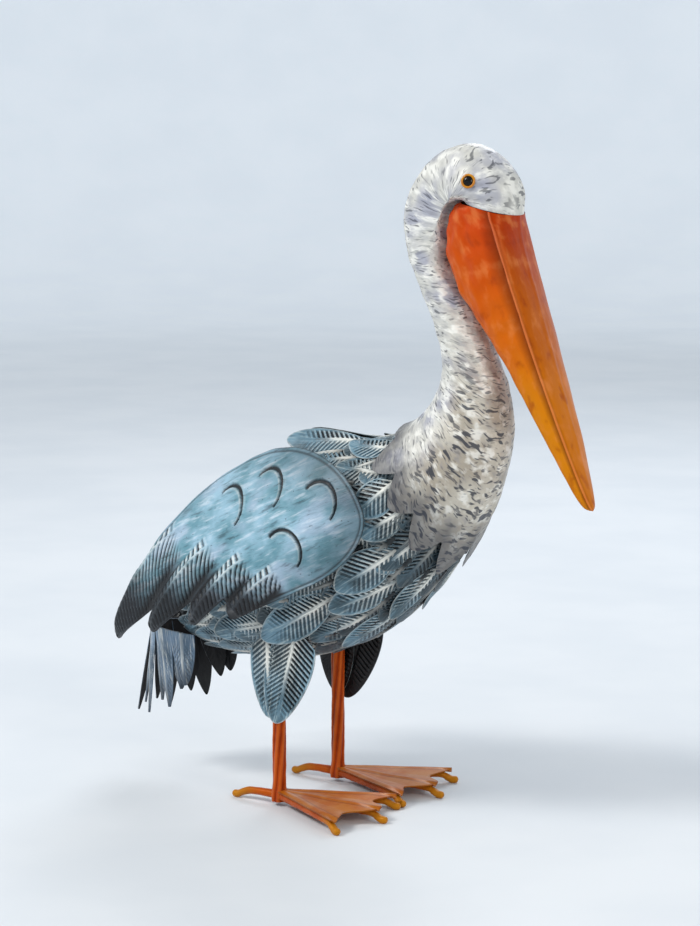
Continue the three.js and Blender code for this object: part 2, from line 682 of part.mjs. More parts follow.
function wingSolid() {
  const sheet = new THREE.BoxGeometry(2 * BLANK.halfU, 2 * BLANK.halfV, SHEET, 11, 5, 1);
  bend(sheet, (p) => crowned(p.x + BLANK.u, p.y + BLANK.v, p.z));
  const taper = (share) => 0.35 + 0.65 * Math.sin(Math.PI * share);
  const crescents = CRESCENT_MIDDLES.map(crescentLine);
  const lips = crescents.map((curve) => {
    const half = (share) => LIP.half * taper(share);
    const high = (across, share) => 0.5 + LIP.height * taper(share) * (1 - Math.abs(across));
    return solid(sheetBar(curve, LIP.steps, half, -0.2, high));
  });
  const dents = crescents.map((curve) => {
    const half = (share) => DENT.half * taper(share);
    return solid(sheetBar(curve, LIP.steps, half, DENT.floor, () => 3));
  });
  const depth = 40;
  const cut = { depth, bevelEnabled: false };
  const cutter = new THREE.ExtrudeGeometry(plateOutline(), cut).translate(0, 0, -depth / 2);
  const folds = Array.from({ length: FINGER.count }, (_, number) => fold(crestLine(number)));
  const beaten = join(solid(sheet), ...folds, ...lips).subtract(join(...dents));
  const flat = beaten.intersect(solid(cutter));
  return solid(bend(surface(flat), (p) => domePoint(p.x, p.y, p.z)));
}

function buildWings() {
  addPair("wing", wingSolid(), 0x7fa0b0, 0.4);
}

// --- Tail -------------------------------------------------------------------------------------

// The tail: pointed blades cut in one edge of a sheet that is bent round the rump like a skirt.
const SKIRT = { x: -118, top: 158, length: 78, half: 37, pitch: 25.7 };
// The blades of the left side, from the front to the rear, and the last one, in the middle.
const BLADES = [
  { turn: 3, tip: [-128, 41, 104] },
  { turn: 2, tip: [-155, 33, 76] },
  { turn: 1, tip: [-193, 18, 62] },
];
const LAST_BLADE = { turn: 0, tip: [-221, 0, 58] };

function skirtPoint(turn) {
  const angle = THREE.MathUtils.degToRad(turn * SKIRT.pitch);
  return new THREE.Vector3(
    SKIRT.x - SKIRT.length * Math.cos(angle),
    SKIRT.half * Math.sin(angle),
    SKIRT.top,
  );
}

function bladeSolid(blade, reach) {
  const middle = skirtPoint(blade.turn);
  const fall = new THREE.Vector3(...blade.tip).sub(middle);
  const geometry = new THREE.BoxGeometry(2, 1, SHEET, 2, 5, 1);
  bend(geometry, (p) => {
    const along = p.y + 0.5;
    const narrow = 0.06 + 0.94 * (1 - along ** 1.7);
    const spot = skirtPoint(blade.turn + p.x * reach * narrow);
    const outward = new THREE.Vector3(spot.x - SKIRT.x, spot.y, 0).normalize();
    return spot.addScaledVector(fall, along).addScaledVector(outward, p.z);
  });
  return solid(geometry);
}

function buildTail() {
  const grey = 0x5c6f80;
  const blades = BLADES.map((blade) => bladeSolid(blade, blade.turn === 1 ? 0.485 : 0.52));
  addPair("tail", join(...blades), grey, 0.5);
  add("tail_rear", bladeSolid(LAST_BLADE, 0.48), grey, 0.5);
}

buildBody();
buildHead();
buildBill();
buildLegs();
buildFeathers();
buildWings();
buildTail();

// The origin lies under the middle of the whole outline.
const outline = new THREE.Box3().setFromObject(pelican);
pelican.position.x = -(outline.min.x + outline.max.x) / 2;

export default pelican;
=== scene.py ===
"""A garden statue of a standing pelican in painted sheet metal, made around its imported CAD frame.

Shapes are worked out in millimetres, with the origin on the floor midway between the legs, +X the
way the bird faces and +Y its left side. They are made into Blender objects in metres.
"""

import json
import math
import random

import bpy
import numpy as np
from mathutils import Matrix, Vector
from mathutils.geometry import delaunay_2d_cdt

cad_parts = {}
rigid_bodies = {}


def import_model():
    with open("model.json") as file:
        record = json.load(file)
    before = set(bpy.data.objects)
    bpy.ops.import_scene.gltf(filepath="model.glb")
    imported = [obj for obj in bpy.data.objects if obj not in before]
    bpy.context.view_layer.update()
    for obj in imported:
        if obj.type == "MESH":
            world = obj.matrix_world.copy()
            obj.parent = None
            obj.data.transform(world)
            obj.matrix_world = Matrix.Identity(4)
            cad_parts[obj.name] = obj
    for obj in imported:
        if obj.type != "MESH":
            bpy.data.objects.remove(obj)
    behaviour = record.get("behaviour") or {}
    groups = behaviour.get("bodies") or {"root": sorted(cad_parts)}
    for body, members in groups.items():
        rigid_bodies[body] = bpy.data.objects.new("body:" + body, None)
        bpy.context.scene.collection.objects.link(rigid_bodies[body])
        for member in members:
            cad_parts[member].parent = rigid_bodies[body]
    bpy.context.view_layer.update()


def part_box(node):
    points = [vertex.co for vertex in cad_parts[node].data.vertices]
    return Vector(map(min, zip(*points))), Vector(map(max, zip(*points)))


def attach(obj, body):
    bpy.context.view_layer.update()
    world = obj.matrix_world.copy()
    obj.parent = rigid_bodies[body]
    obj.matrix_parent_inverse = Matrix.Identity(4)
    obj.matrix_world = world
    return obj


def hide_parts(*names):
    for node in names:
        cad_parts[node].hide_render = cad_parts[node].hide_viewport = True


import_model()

MM = 0.001
LEG_X = sum(corner[0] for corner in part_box("leg_left")) / 2
LEG_Y = sum(corner[1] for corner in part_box("toe_middle_left")) / 2 / MM
SIDES = {"left": 1, "right": -1}

# --- The camera and the room ---

VIEW = {"azimuth": 33.0, "elevation": 8.6, "distance": 2.6, "focal": 2600 / 926}
TARGET = Vector((LEG_X + 0.05, 0, 0.347))


def linked(name, data):
    made = bpy.data.objects.new(name, data)
    bpy.context.scene.collection.objects.link(made)
    return made


def build_camera():
    azimuth, elevation = math.radians(VIEW["azimuth"]), math.radians(VIEW["elevation"])
    right = Vector((math.cos(azimuth), math.sin(azimuth), 0))
    back = Vector((math.sin(azimuth), -math.cos(azimuth), 0)) * math.cos(elevation)
    back.z = math.sin(elevation)
    up = back.cross(right)
    data = bpy.data.cameras.new("camera")
    data.sensor_width = 36
    data.lens = 36 * VIEW["focal"]
    camera = linked("camera", data)
    turn = Matrix((right, up, back)).transposed().to_4x4()
    camera.matrix_world = Matrix.Translation(TARGET + back * VIEW["distance"]) @ turn
    bpy.context.scene.camera = camera


def area_light(name, position, size, power, color):
    data = bpy.data.lights.new(name, "AREA")
    data.size = size
    data.energy = power
    data.color = color
    light = linked(name, data)
    light.location = position
    light.rotation_euler = (TARGET - light.location).to_track_quat("-Z", "Y").to_euler()


def build_room():
    bpy.context.scene.view_settings.view_transform = "Standard"
    world = bpy.data.worlds.new("world")
    bpy.context.scene.world = world
    world.use_nodes = True
    sky = world.node_tree.nodes["Background"]
    sky.inputs["Color"].default_value = (0.8, 0.88, 0.96, 1)
    sky.inputs["Strength"].default_value = 0.6
    area_light("key", (-1.6, -2.0, 2.7), 1.0, 72, (1, 0.98, 0.95))
    area_light("side", (2.4, -0.9, 1.5), 0.9, 20, (1, 0.93, 0.84))
    area_light("rim", (-0.6, 2.3, 2.2), 1.2, 30, (0.93, 0.96, 1))


# --- Curves and meshes ---


def rail(rows):
    """The smooth line through the rows, as a function of the row number."""
    knots = np.array(rows, float)
    last = len(knots) - 1

    def at(s):
        s = np.clip(s, 0, last)
        i = np.minimum(np.floor(s).astype(int), last - 1)
        t = (s - i)[..., None]
        before, start = knots[np.maximum(i - 1, 0)], knots[i]
        end, after = knots[i + 1], knots[np.minimum(i + 2, last)]
        out, into = (end - before) / 2, (after - start) / 2
        bend = 2 * (start - end) + out + into
        return start + t * (out + t * (3 * (end - start) - 2 * out - into + t * bend))

    return at


def ripple(points, size, seed, waves=10):
    """A smooth random field over points, about -1 to 1, with lumps of the given size."""
    draw = np.random.default_rng(seed)
    total = np.zeros(points.shape[:-1])
    for _ in range(waves):
        way = draw.normal(size=points.shape[-1])
        way *= draw.uniform(0.7, 1.5) * math.pi / size / np.linalg.norm(way)
        total += np.sin(points @ way + draw.uniform(0, 2 * math.pi))
    return total / math.sqrt(waves) * 0.8


def bell(value, breadth):
    return np.exp(-((value / breadth) ** 2))


def ramp(low, high, value):
    """A smooth rise from 0 at low to 1 at high, or a fall where high is the lower one."""
    t = np.clip((value - low) / (high - low), 0, 1)
    return t * t * (3 - 2 * t)


def unit(vectors):
    return vectors / np.maximum(np.linalg.norm(vectors, axis=-1, keepdims=True), 1e-9)


def stacked(*parts):
    """Points whose coordinates are the parts."""
    return np.stack(np.broadcast_arrays(*parts), -1)


def run_length(points):
    """The length along a line of points, up to each of them."""
    steps = np.linalg.norm(np.diff(points, axis=0), axis=1)
    return np.concatenate([[0], np.cumsum(steps)])


def full_turn(count):
    return np.linspace(0, 2 * math.pi, count, endpoint=False)


SHARP = 50  # degrees, from which an edge between faces is sharp


class Shape:
    """Points in millimetres, faces, and values kept at each point for the materials to read."""

    def __init__(self):
        self.points = []
        self.faces = []
        self.values = {}

    def add_points(self, points, values):
        first = sum(len(block) for block in self.points)
        points = points.reshape(-1, 3)
        for name, value in values.items():
            self.values.setdefault(name, []).append((first, np.asarray(value, float)))
        self.points.append(points)
        return first

    def add_grid(self, points, values, closed=False, flip=False):
        """Adds a grid of points, rows by columns; closed joins its last column to its first."""
        rows, columns = points.shape[:2]
        flat = {
            name: np.asarray(value).reshape(rows * columns, -1) for name, value in values.items()
        }
        first = self.add_points(points, flat)
        index = first + np.arange(rows * columns).reshape(rows, columns)
        if closed:
            index = np.concatenate([index, index[:, :1]], axis=1)
        corners = [index[:-1, :-1], index[:-1, 1:], index[1:, 1:], index[1:, :-1]]
        quads = np.stack(corners, -1).reshape(-1, 4)
        self.faces += (quads[:, ::-1] if flip else quads).tolist()
        return index

    def bridge(self, upper, lower):
        """Joins two loops of the same length with a strip of faces."""
        for i in range(len(upper)):
            j = (i + 1) % len(upper)
            self.faces.append([int(upper[i]), int(lower[i]), int(lower[j]), int(upper[j])])

    def add_sheet(self, top, bottom, values, mirror=False):
        """Adds a thin closed sheet between two grids; its lower side has the value under."""
        size = top.shape[:2]
        if mirror:
            top, bottom = top[:, ::-1], bottom[:, ::-1]
            values = {name: value[:, ::-1] for name, value in values.items()}
        above = self.add_grid(top, {**values, "under": np.zeros(size)})
        below = self.add_grid(bottom, {**values, "under": np.ones(size)}, flip=True)
        loops = []
        for index in (above, below):
            sides = [index[0, :-1], index[:-1, -1], index[-1, :0:-1], index[:0:-1, 0]]
            loops.append(np.concatenate(sides))
        self.bridge(loops[0], loops[1])

    def mesh(self, name):
        points = np.concatenate(self.points) * MM
        points[:, 0] += LEG_X
        mesh = bpy.data.meshes.new(name)
        mesh.from_pydata(points.tolist(), [], self.faces)
        for value_name, blocks in self.values.items():
            width = blocks[0][1].reshape(len(blocks[0][1]), -1).shape[1]
            table = np.zeros((len(points), width))
            for first, block in blocks:
                table[first : first + len(block)] = block.reshape(len(block), -1)
            kind, field = ("FLOAT", "value") if width == 1 else ("FLOAT_VECTOR", "vector")
            layer = mesh.attributes.new(value_name, kind, "POINT")
            layer.data.foreach_set(field, table.astype(np.float32).ravel())
        mesh.polygons.foreach_set("use_smooth", [True] * len(mesh.polygons))
        mesh.set_sharp_from_angle(angle=math.radians(SHARP))
        mesh.validate()
        return mesh


def piece(name, shape, material, nodes=None):
    """Makes a piece of the statue, which stands for the CAD nodes, or the one of its own name."""
    made = linked(name, shape.mesh(name))
    made.data.materials.append(material)
    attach(made, "root")
    if nodes is None:
        nodes = [name]
    if nodes:
        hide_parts(*nodes)


def tube(name, points, values, material, nodes=None, flip=False):
    """Makes a piece from one grid, joined round."""
    shape = Shape()
    shape.add_grid(points, values, closed=True, flip=flip)
    piece(name, shape, material, nodes)


# --- The body's surface ---

# The same sections as the CAD body's: the x and z of the point on the back, the x and z of the
# point below, the half breadth, and the place where it is that broad, from back to below.
SECTIONS = [
    [-170, 204, -160, 166, 15, 0.5],
    [-140, 258, -126, 144, 44, 0.5],
    [-88, 318, -70, 137, 68, 0.5],
    [-22, 356, 10, 144, 84, 0.5],
    [38, 371, 82, 171, 89, 0.5],
    [88, 379, 138, 217, 84, 0.5],
    [121, 390, 182, 270, 72, 0.5],
    [143, 407, 214, 323, 57, 0.5],
    [156, 426, 230, 374, 44, 0.5],
    [162, 447, 230, 417, 35, 0.5],
    [159, 471, 219, 455, 29.5, 0.5],
    [150, 496, 203, 489, 26.5, 0.5],
    [136, 525, 184, 522, 25, 0.5],
    [121, 557, 167, 556, 25, 0.62],
    [115, 592, 170, 587, 28, 0.8],
    [127, 630, 178, 605, 32, 0.87],
    [158, 660, 184, 610, 36, 0.86],
    [193, 667, 186, 611.5, 40, 0.8],
    [223, 651, 187.5, 612, 38.5, 0.73],
    [241, 626, 188, 612.5, 35, 0.65],
    [242, 600, 188, 612.5, 30, 0.55],
]
CHEEK = 2.0
HEAD_END = len(SECTIONS) - 1
body_rail = rail(SECTIONS)


def body_point(s, angle):
    """The body's surface: angle 0 is its back, pi its belly, and +pi/2 its left side."""
    s, angle = np.broadcast_arrays(np.asarray(s, float), np.asarray(angle, float))
    row = body_rail(s)
    back, belly, half, share = row[..., 0:2], row[..., 2:4], row[..., 4], row[..., 5]
    middle = back + (belly - back) * share[..., None]
    below = np.cos(angle) < 0
    power = np.where(below, 1 - CHEEK * (share - 0.5), 1.0)
    reach = np.where(below[..., None], belly - middle, back - middle)
    reach = reach * (np.abs(np.cos(angle)) ** power)[..., None]
    y = half * np.abs(np.sin(angle)) ** power * np.sign(np.sin(angle))
    return stacked(middle[..., 0] + reach[..., 0], y, middle[..., 1] + reach[..., 1])


def body_slopes(s, angle, step=1e-3):
    along_s = (body_point(s + step, angle) - body_point(s - step, angle)) / (2 * step)
    along_angle = (body_point(s, angle + step) - body_point(s, angle - step)) / (2 * step)
    return along_s, along_angle


def body_normal(s, angle):
    along_s, along_angle = body_slopes(s, angle)
    return unit(np.cross(along_s, along_angle))


def drop_on_body(target, s, angle):
    """The place on the body nearest to each target, from a first guess."""
    for _ in range(8):
        u, v = body_slopes(s, angle)
        gap = target - body_point(s, angle)
        uu, uv, vv = (u * u).sum(-1), (u * v).sum(-1), (v * v).sum(-1)
        share = uu * vv - uv * uv
        step_s = (vv * (gap * u).sum(-1) - uv * (gap * v).sum(-1)) / share
        step_angle = (uu * (gap * v).sum(-1) - uv * (gap * u).sum(-1)) / share
        s = np.clip(s + np.clip(step_s, -0.6, 0.6), 0.02, HEAD_END)
        angle = angle + np.clip(step_angle, -0.6, 0.6)
    return s, angle


# --- Materials ---


class Paint:
    """A node material, built a step at a time. Most steps give a socket."""

    def __init__(self, name, coat=0.0, coat_roughness=0.2, specular=0.5, tint=(1, 1, 1, 1)):
        self.material = bpy.data.materials.new(name)
        self.material.use_nodes = True
        self.tree = self.material.node_tree
        self.shader = self.tree.nodes["Principled BSDF"]
        self.set("Coat Weight", coat)
        self.set("Coat Roughness", coat_roughness)
        self.set("Specular IOR Level", specular)
        self.set("Specular Tint", tint)

    def set(self, name, value):
        self.plug(self.shader.inputs[name], value)

    def plug(self, socket, value):
        if isinstance(value, bpy.types.NodeSocket):
            self.tree.links.new(value, socket)
        else:
            socket.default_value = value

    def node(self, kind, inputs, output=0, **settings):
        node = self.tree.nodes.new("ShaderNode" + kind)
        for key, value in settings.items():
            setattr(node, key, value)
        for key, value in inputs.items():
            self.plug(node.inputs[key], value)
        return node.outputs[output]

    def value(self, name, share=None):
        """A value kept at the points, or a share of it."""
        found = self.node("Attribute", {}, "Fac", attribute_name=name)
        return found if share is None else self.times(found, share)

    def vector(self, name):
        return self.node("Attribute", {}, "Vector", attribute_name=name)

    def math(self, operation, first, second=0.0):
        return self.node("Math", {0: first, 1: second}, operation=operation)

    def times(self, first, second):
        return self.math("MULTIPLY", first, second)

    def band(self, value, low, high, to_low=0.0, to_high=1.0):
        """A smooth rise from to_low at low to to_high at high."""
        inputs = {"Value": value, 1: low, 2: high, 3: to_low, 4: to_high}
        return self.node("MapRange", inputs, interpolation_type="SMOOTHSTEP")

    def joined(self, operation, first, second):
        return self.node("VectorMath", {0: first, 1: second}, operation=operation)

    def noise(self, vector, scale, detail=3.0, roughness=0.55, output=0):
        """A random field; scale is one number, or one for each direction."""
        scale = scale if isinstance(scale, tuple) else (scale,) * 3
        inputs = {"Vector": self.joined("MULTIPLY", vector, scale), "Scale": 1.0}
        return self.node("TexNoise", inputs | {"Detail": detail, "Roughness": roughness}, output)

    def mix(self, factor, first, second):
        """A mix of two colours, each a socket or red, green and blue from 0 to 255."""
        first, second = (linear(c) if isinstance(c, tuple) else c for c in (first, second))
        return self.node("Mix", {0: factor, 6: first, 7: second}, 2, data_type="RGBA")

    def cover(self, mask, tint):
        self.color = self.mix(mask, self.color, tint)

    def place(self):
        """The place on the object, in millimetres."""
        return self.joined("MULTIPLY", self.node("TexCoord", {}, "Object"), (1 / MM,) * 3)

    def finish(self, roughness, height, distance):
        """Sets the colour, the roughness and a bump whose height is up to distance."""
        self.set("Base Color", self.color)
        self.set("Roughness", roughness)
        inputs = {"Height": height, "Distance": distance * MM, "Strength": 1.0}
        self.set("Normal", self.node("Bump", inputs))
        return self.material


def linear(color):
    """A colour given in the usual 0 to 255, as linear light."""
    parts = [part / 255 for part in color]
    light = [p / 12.92 if p <= 0.04045 else ((p + 0.055) / 1.055) ** 2.4 for p in parts]
    return (*light, 1)


def cream_paint():
    """Cream and lavender paint with dark crosswise strokes, bolder on the breast's front."""
    paint = Paint("cream_paint", 0.06, 0.3)
    coat = paint.vector("coat")
    cloud = paint.band(paint.noise(coat, 0.03, 2), 0.36, 0.6)
    mottle = paint.noise(coat, (0.07, 0.07, 0.13), 3, 0.5)
    front = paint.value("wide")
    cool = paint.mix(cloud, (164, 165, 176), (204, 202, 194))
    warm = paint.mix(cloud, (170, 158, 136), (194, 186, 170))
    paint.color = paint.mix(paint.times(front, 0.85), cool, warm)
    paint.cover(paint.band(mottle, 0.48, 0.66, 0, 0.75), (242, 240, 232))
    paint.cover(paint.band(mottle, 0.46, 0.3, 0, 0.4), (132, 131, 138))
    paint.cover(paint.value("smoke", 0.85), (84, 84, 86))
    # The strokes waver, because their places are shifted by a slow noise.
    shift = paint.joined("SUBTRACT", paint.noise(coat, 0.07, 0.0, 0.5, 1), (0.5, 0.5, 0.5))
    bent = paint.joined("ADD", coat, paint.joined("MULTIPLY", shift, (8, 8, 7)))
    broad = paint.band(paint.noise(bent, (0.062, 0.062, 0.25), 1.4, 0.6), 0.575, 0.645)
    fine = paint.band(paint.noise(bent, (0.09, 0.09, 0.42), 1.4, 0.6), 0.56, 0.65)
    patchy = paint.band(paint.noise(coat, (0.03, 0.03, 0.05), 2), 0.34, 0.52, 0.35, 0.78)
    dark = paint.math("MAXIMUM", paint.times(broad, front), paint.times(fine, patchy))
    # The groove value is painted shade under the flaps' edges and in the lip round the bill.
    dark = paint.math("MAXIMUM", paint.times(dark, 0.9), paint.value("groove"))
    paint.cover(dark, (34, 40, 54))
    lumps = paint.noise(coat, (0.06, 0.06, 0.09), 2)
    height = paint.math("ADD", lumps, paint.times(mottle, 0.3))
    return paint.finish(paint.band(mottle, 0.3, 0.7, 0.4, 0.56), height, 3.2)


def plumage_paint(name, deep, pale, cream, worn, brush=(0.045, 0.5, 0.05), bloom=0.0, pits=0.7):
    """Blue paint, dark in the grooves, brushed with cream on the ridges, and black underneath; part
    of that dark is painted shade and part of that cream is painted highlight.
    """
    paint = Paint(name, 0.04, 0.3, 0.4)
    grain = paint.vector("grain")
    streak = paint.noise(grain, brush, 4, 0.6)
    cloud = paint.noise(grain, (0.025, 0.035, 0.05))
    paint.color = paint.mix(paint.band(cloud, 0.35, 0.65), deep, pale)
    if bloom:
        # Lavender patches at random, partly the paint's own tint and partly a painted reflection of
        # the pale sky.
        patch = paint.noise(grain, (0.016, 0.024, 0.05))
        paint.cover(paint.band(patch, 0.5, 0.64, 0, bloom), (178, 192, 214))
    paint.cover(paint.times(paint.band(streak, 0.5, 0.7), worn), cream)
    paint.cover(paint.band(streak, 0.46, 0.3, 0, 0.6), (30, 44, 52))
    # The ridge value brings cream: dry-brushed paint on the ribs, and painted highlights on leaf
    # edges, finger facets and crescent lips.
    ridge_rub_and_highlight = paint.band(streak, 0.36, 0.54, 0.45, 1)
    paint.cover(paint.times(paint.value("ridge"), ridge_rub_and_highlight), (234, 233, 224))
    pit = paint.noise(grain, (0.16, 0.26, 0.3), 4, 0.7)
    paint.cover(paint.band(pit, pits, pits + 0.05, 0, 0.85), (28, 34, 48))
    paint.cover(paint.value("shade"), (18, 26, 30))
    paint.cover(paint.value("fade", 0.96), (20, 19, 24))
    paint.cover(paint.value("groove", 0.98), (8, 8, 12))
    paint.cover(paint.value("under"), (10, 10, 13))
    height = paint.noise(grain, (0.1, 0.5, 0.1), 4)
    return paint.finish(paint.band(streak, 0.3, 0.7, 0.36, 0.56), height, 0.7)


ORANGE = (0.2, 0.45, (1, 0.42, 0.12, 1))  # the coat's roughness, the shine and its tint


def bill_paint(name, root, middle, tip):
    paint = Paint(name, 0.03, *ORANGE)
    grain = paint.vector("grain")
    cloud = paint.noise(grain, (0.03, 0.03, 0.012))
    offset = paint.times(paint.math("SUBTRACT", cloud, 0.5), 0.3)
    reach = paint.math("ADD", paint.value("share"), offset)
    paint.color = paint.mix(paint.band(reach, 0.0, 0.42), root, middle)
    paint.cover(paint.band(reach, 0.34, 0.72), tip)
    mottle = paint.noise(grain, (0.07, 0.07, 0.05), 3, 0.5)
    paint.cover(paint.band(mottle, 0.5, 0.72, 0, 0.4), (226, 138, 76))
    paint.cover(paint.band(mottle, 0.46, 0.25, 0, 0.55), (138, 34, 2))
    # A pale line on the bead along the jaws' edge: a painted highlight.
    paint.cover(paint.value("ridge", 0.45), (226, 130, 84))
    # Dark lines along the jaws' seam and beside the bead: painted shade.
    paint.cover(paint.value("groove", 0.8), (92, 24, 2))
    height = paint.noise(grain, (0.07, 0.07, 0.05), 2)
    return paint.finish(paint.band(cloud, 0.35, 0.7, 0.32, 0.46), height, 1.0)


def orange_paint(name, base, pale, dark, roughness=0.42):
    paint = Paint(name, 0.04, *ORANGE)
    grain = paint.vector("grain")
    cloud = paint.noise(grain, 0.05)
    paint.color = paint.mix(paint.band(cloud, 0.35, 0.65), base, dark)
    # The ridge value brings in the pale colour; on the legs it is a painted highlight along the
    # strands.
    paint.cover(paint.value("ridge", 0.5), pale)
    paint.cover(paint.value("fade"), (182, 116, 22))
    # The groove value darkens; on the legs it is painted shade between the strands.
    paint.cover(paint.value("groove", 0.8), (84, 20, 2))
    rough = paint.band(cloud, 0.3, 0.7, roughness - 0.06, roughness + 0.08)
    return paint.finish(rough, paint.noise(grain, 0.25, 2), 0.3)


def plain_paint(name, base, other, roughness, coat=0.0, size=20.0):
    """Two tones of one colour in soft patches, for small, plain or hidden surfaces."""
    paint = Paint(name, coat, 0.05, 0.25)
    cloud = paint.noise(paint.place(), 1 / size)
    paint.color = paint.mix(paint.band(cloud, 0.3, 0.7), base, other)
    rough = paint.band(cloud, 0.3, 0.7, roughness, roughness * 1.2)
    return paint.finish(rough, paint.noise(paint.place(), 4 / size), 0.15)


CREAM = cream_paint()
FEATHER = plumage_paint("feather_paint", (54, 78, 88), (104, 140, 158), (182, 198, 200), 0.55)
BRUSH = (0.03, 0.17, 0.05)
BLUES = ((98, 146, 160), (152, 188, 206), (216, 226, 236))
WING = plumage_paint("wing_paint", *BLUES, 0.6, BRUSH, 0.5, 0.64)
TAIL = plumage_paint("tail_paint", (80, 104, 124), (124, 148, 172), (220, 222, 218), 0.9)
POUCH_PAINT = bill_paint("pouch_paint", (188, 56, 8), (200, 92, 4), (206, 122, 2))
RIDGE_PAINT = bill_paint("ridge_paint", (166, 46, 1), (184, 88, 1), (200, 110, 1))
LEG = orange_paint("leg_paint", (172, 60, 8), (214, 112, 48), (146, 42, 4))
TOE = orange_paint("toe_paint", (178, 76, 8), (206, 122, 50), (156, 58, 6))
WEB = orange_paint("web_paint", (176, 104, 32), (196, 132, 76), (166, 84, 12), 0.38)
AMBER = plain_paint("amber_paint", (206, 142, 30), (186, 112, 16), 0.25, 0.3, 6)
BLACK = plain_paint("eye_paint", (5, 4, 4), (9, 7, 7), 0.05, 0.0, 6)
# Near black for the trunk: painted shade for the gaps between the feathers.
DARK = plain_paint("trunk_paint", (13, 16, 19), (24, 30, 34), 0.6)

# --- Neck, head and bill ---

# The collar's flaps, as in CAD: their pitch in degrees, and the sections of notches and tips.
COLLAR = {"pitch": 36, "notch": 6.15, "tips": (6, 5.5, 5.75, 5.7, 5.6)}
COLLAR_ROOT = 6.9
FLAP_LIFT = 3.4
# Where the pouch lies against the neck, and the dip there: how deep, and from and to which reach.
SEAT = {"place": (174, 0, 604), "depth": 4.5, "far": 40, "near": 14}
# The skin's front edge turns in round the bill: how far each row goes in and down.
LIP_ROWS = ((0.02, 0.5), (0.07, 0.6), (0.2, 0.1))
SHEET = 1.2
LEAF = 0.9


def collar_edge(angle):
    """The section where the collar ends: each flap is a tongue with a rounded tip."""
    place = np.abs(np.degrees(angle)) / COLLAR["pitch"]
    flap = np.minimum(np.floor(place), len(COLLAR["tips"]) - 1).astype(int)
    share = 1 - np.abs(2 * (place - flap) - 1)
    tip = np.array(COLLAR["tips"])[flap]
    tongue = 0.25 * share + 0.75 * np.sin(share * math.pi / 2)
    return COLLAR["notch"] + (tip - COLLAR["notch"]) * tongue


def arc_length():
    """The length along the middle of the body up to each section, as a function."""
    stations = np.linspace(0, HEAD_END, 400)
    rows = body_rail(stations)
    length = run_length((rows[:, 0:2] + rows[:, 2:4]) / 2)
    return lambda s: np.interp(s, stations, length)


def relaxed(points, weight, rounds):
    """Rounds off a closed tube of points where weight is above 0."""
    for _ in range(rounds):
        around = np.roll(points, 1, axis=1) + np.roll(points, -1, axis=1)
        along = points[2:] + points[:-2]
        mean = (around[1:-1] + along) / 4
        share = weight[1:-1, None, None]
        points[1:-1] = points[1:-1] * (1 - share) + mean * share
    return points


def build_skin():
    columns = 216
    angle = np.linspace(-math.pi, math.pi, columns, endpoint=False)
    edge = collar_edge(angle)
    inside = np.array([0.6, 0.4, 0.2, 0.05])
    outside = np.linspace(0, 1, 34)
    q = np.concatenate([inside, outside])[:, None]
    s = edge + (COLLAR_ROOT - edge) * q
    lift = FLAP_LIFT * (1 - q) ** 1.6 + np.zeros(columns)
    lift[: len(inside)] -= LEAF
    upper = np.linspace(COLLAR_ROOT, HEAD_END, 190)[1:, None] + np.zeros(columns)
    s = np.concatenate([s, upper])
    lift = np.concatenate([lift, np.zeros_like(upper)])
    angles = angle + np.zeros_like(s)
    points = body_point(s, angles)
    normal = body_normal(s, angles)
    rows = s[:, 0]
    points = relaxed(points, 0.8 * ramp(12.6, 14.0, rows), 14)
    dents = 0.6 * ripple(points, 17, 3) + 0.25 * ripple(points, 7, 13) - 0.4
    dents *= ramp(HEAD_END, HEAD_END - 0.5, s)
    aside = np.abs(points[..., 1])
    seat = np.linalg.norm((points - SEAT["place"]) * [1, 0, 1], axis=-1) + 0.6 * aside
    press = SEAT["depth"] * ramp(SEAT["far"], SEAT["near"], seat) * ramp(8, 16, aside)
    points = points + normal * (lift + dents - press)[..., None]
    lip = points[-1]
    middle = lip.mean(axis=0)
    down = unit(points[-1] - points[-3])
    turned = [lip + (middle - lip) * pull + down * drop for pull, drop in LIP_ROWS]
    points = np.concatenate([points, np.array(turned)])
    row = body_rail(s)
    radius = np.sqrt(row[..., 4] * np.linalg.norm(row[..., 0:2] - row[..., 2:4], axis=-1) / 2)
    coat = stacked(radius * np.cos(angles), radius * np.sin(angles), arc_length()(s))
    coat = np.concatenate([coat] + [coat[-1:]] * len(LIP_ROWS))
    # The flaps' turned-under edge rows are painted near black and the lip turned in round the bill
    # dark: painted shade under the flaps and in the crevice round the bill.
    groove = np.zeros(s.shape)
    groove[: len(inside)] = 1
    groove = np.concatenate([groove, np.full((len(LIP_ROWS), columns), 0.6)])
    stations = np.concatenate([s, np.full((len(LIP_ROWS), columns), HEAD_END)])
    smoke = ramp(1.0, 0.1, (stations - edge) / (COLLAR_ROOT - edge))
    wide = ramp(11.5, 8.5, stations) * ramp(60, 95, np.abs(np.degrees(angle)))
    values = {"coat": coat, "groove": groove, "smoke": smoke, "wide": wide}
    tube("skin", points, values, CREAM, ("head", "neck", "breast"), flip=True)


# The bill's sections, as in CAD: ridge, keel, the place of the jaw's edge and its half breadth.
BILL_SECTIONS = [
    [241, 600, 188, 612, 0.33, 30],
    [242, 588, 173, 593, 0.19, 31],
    [245, 573, 171, 565, 0.14, 31.5],
    [252, 551, 181, 534, 0.13, 31],
    [260, 527, 201, 506, 0.14, 30],
    [272, 490, 226, 473, 0.16, 28],
    [293, 427, 262, 416, 0.19, 23],
    [311, 372, 291, 366, 0.21, 16],
    [322, 337, 309, 334, 0.22, 9],
    [325, 324, 320, 322, 0.25, 4],
]
POUCH = 0.42
GAP = 0.3
BILL_CORNER = 3.4
SOFT = 0.5


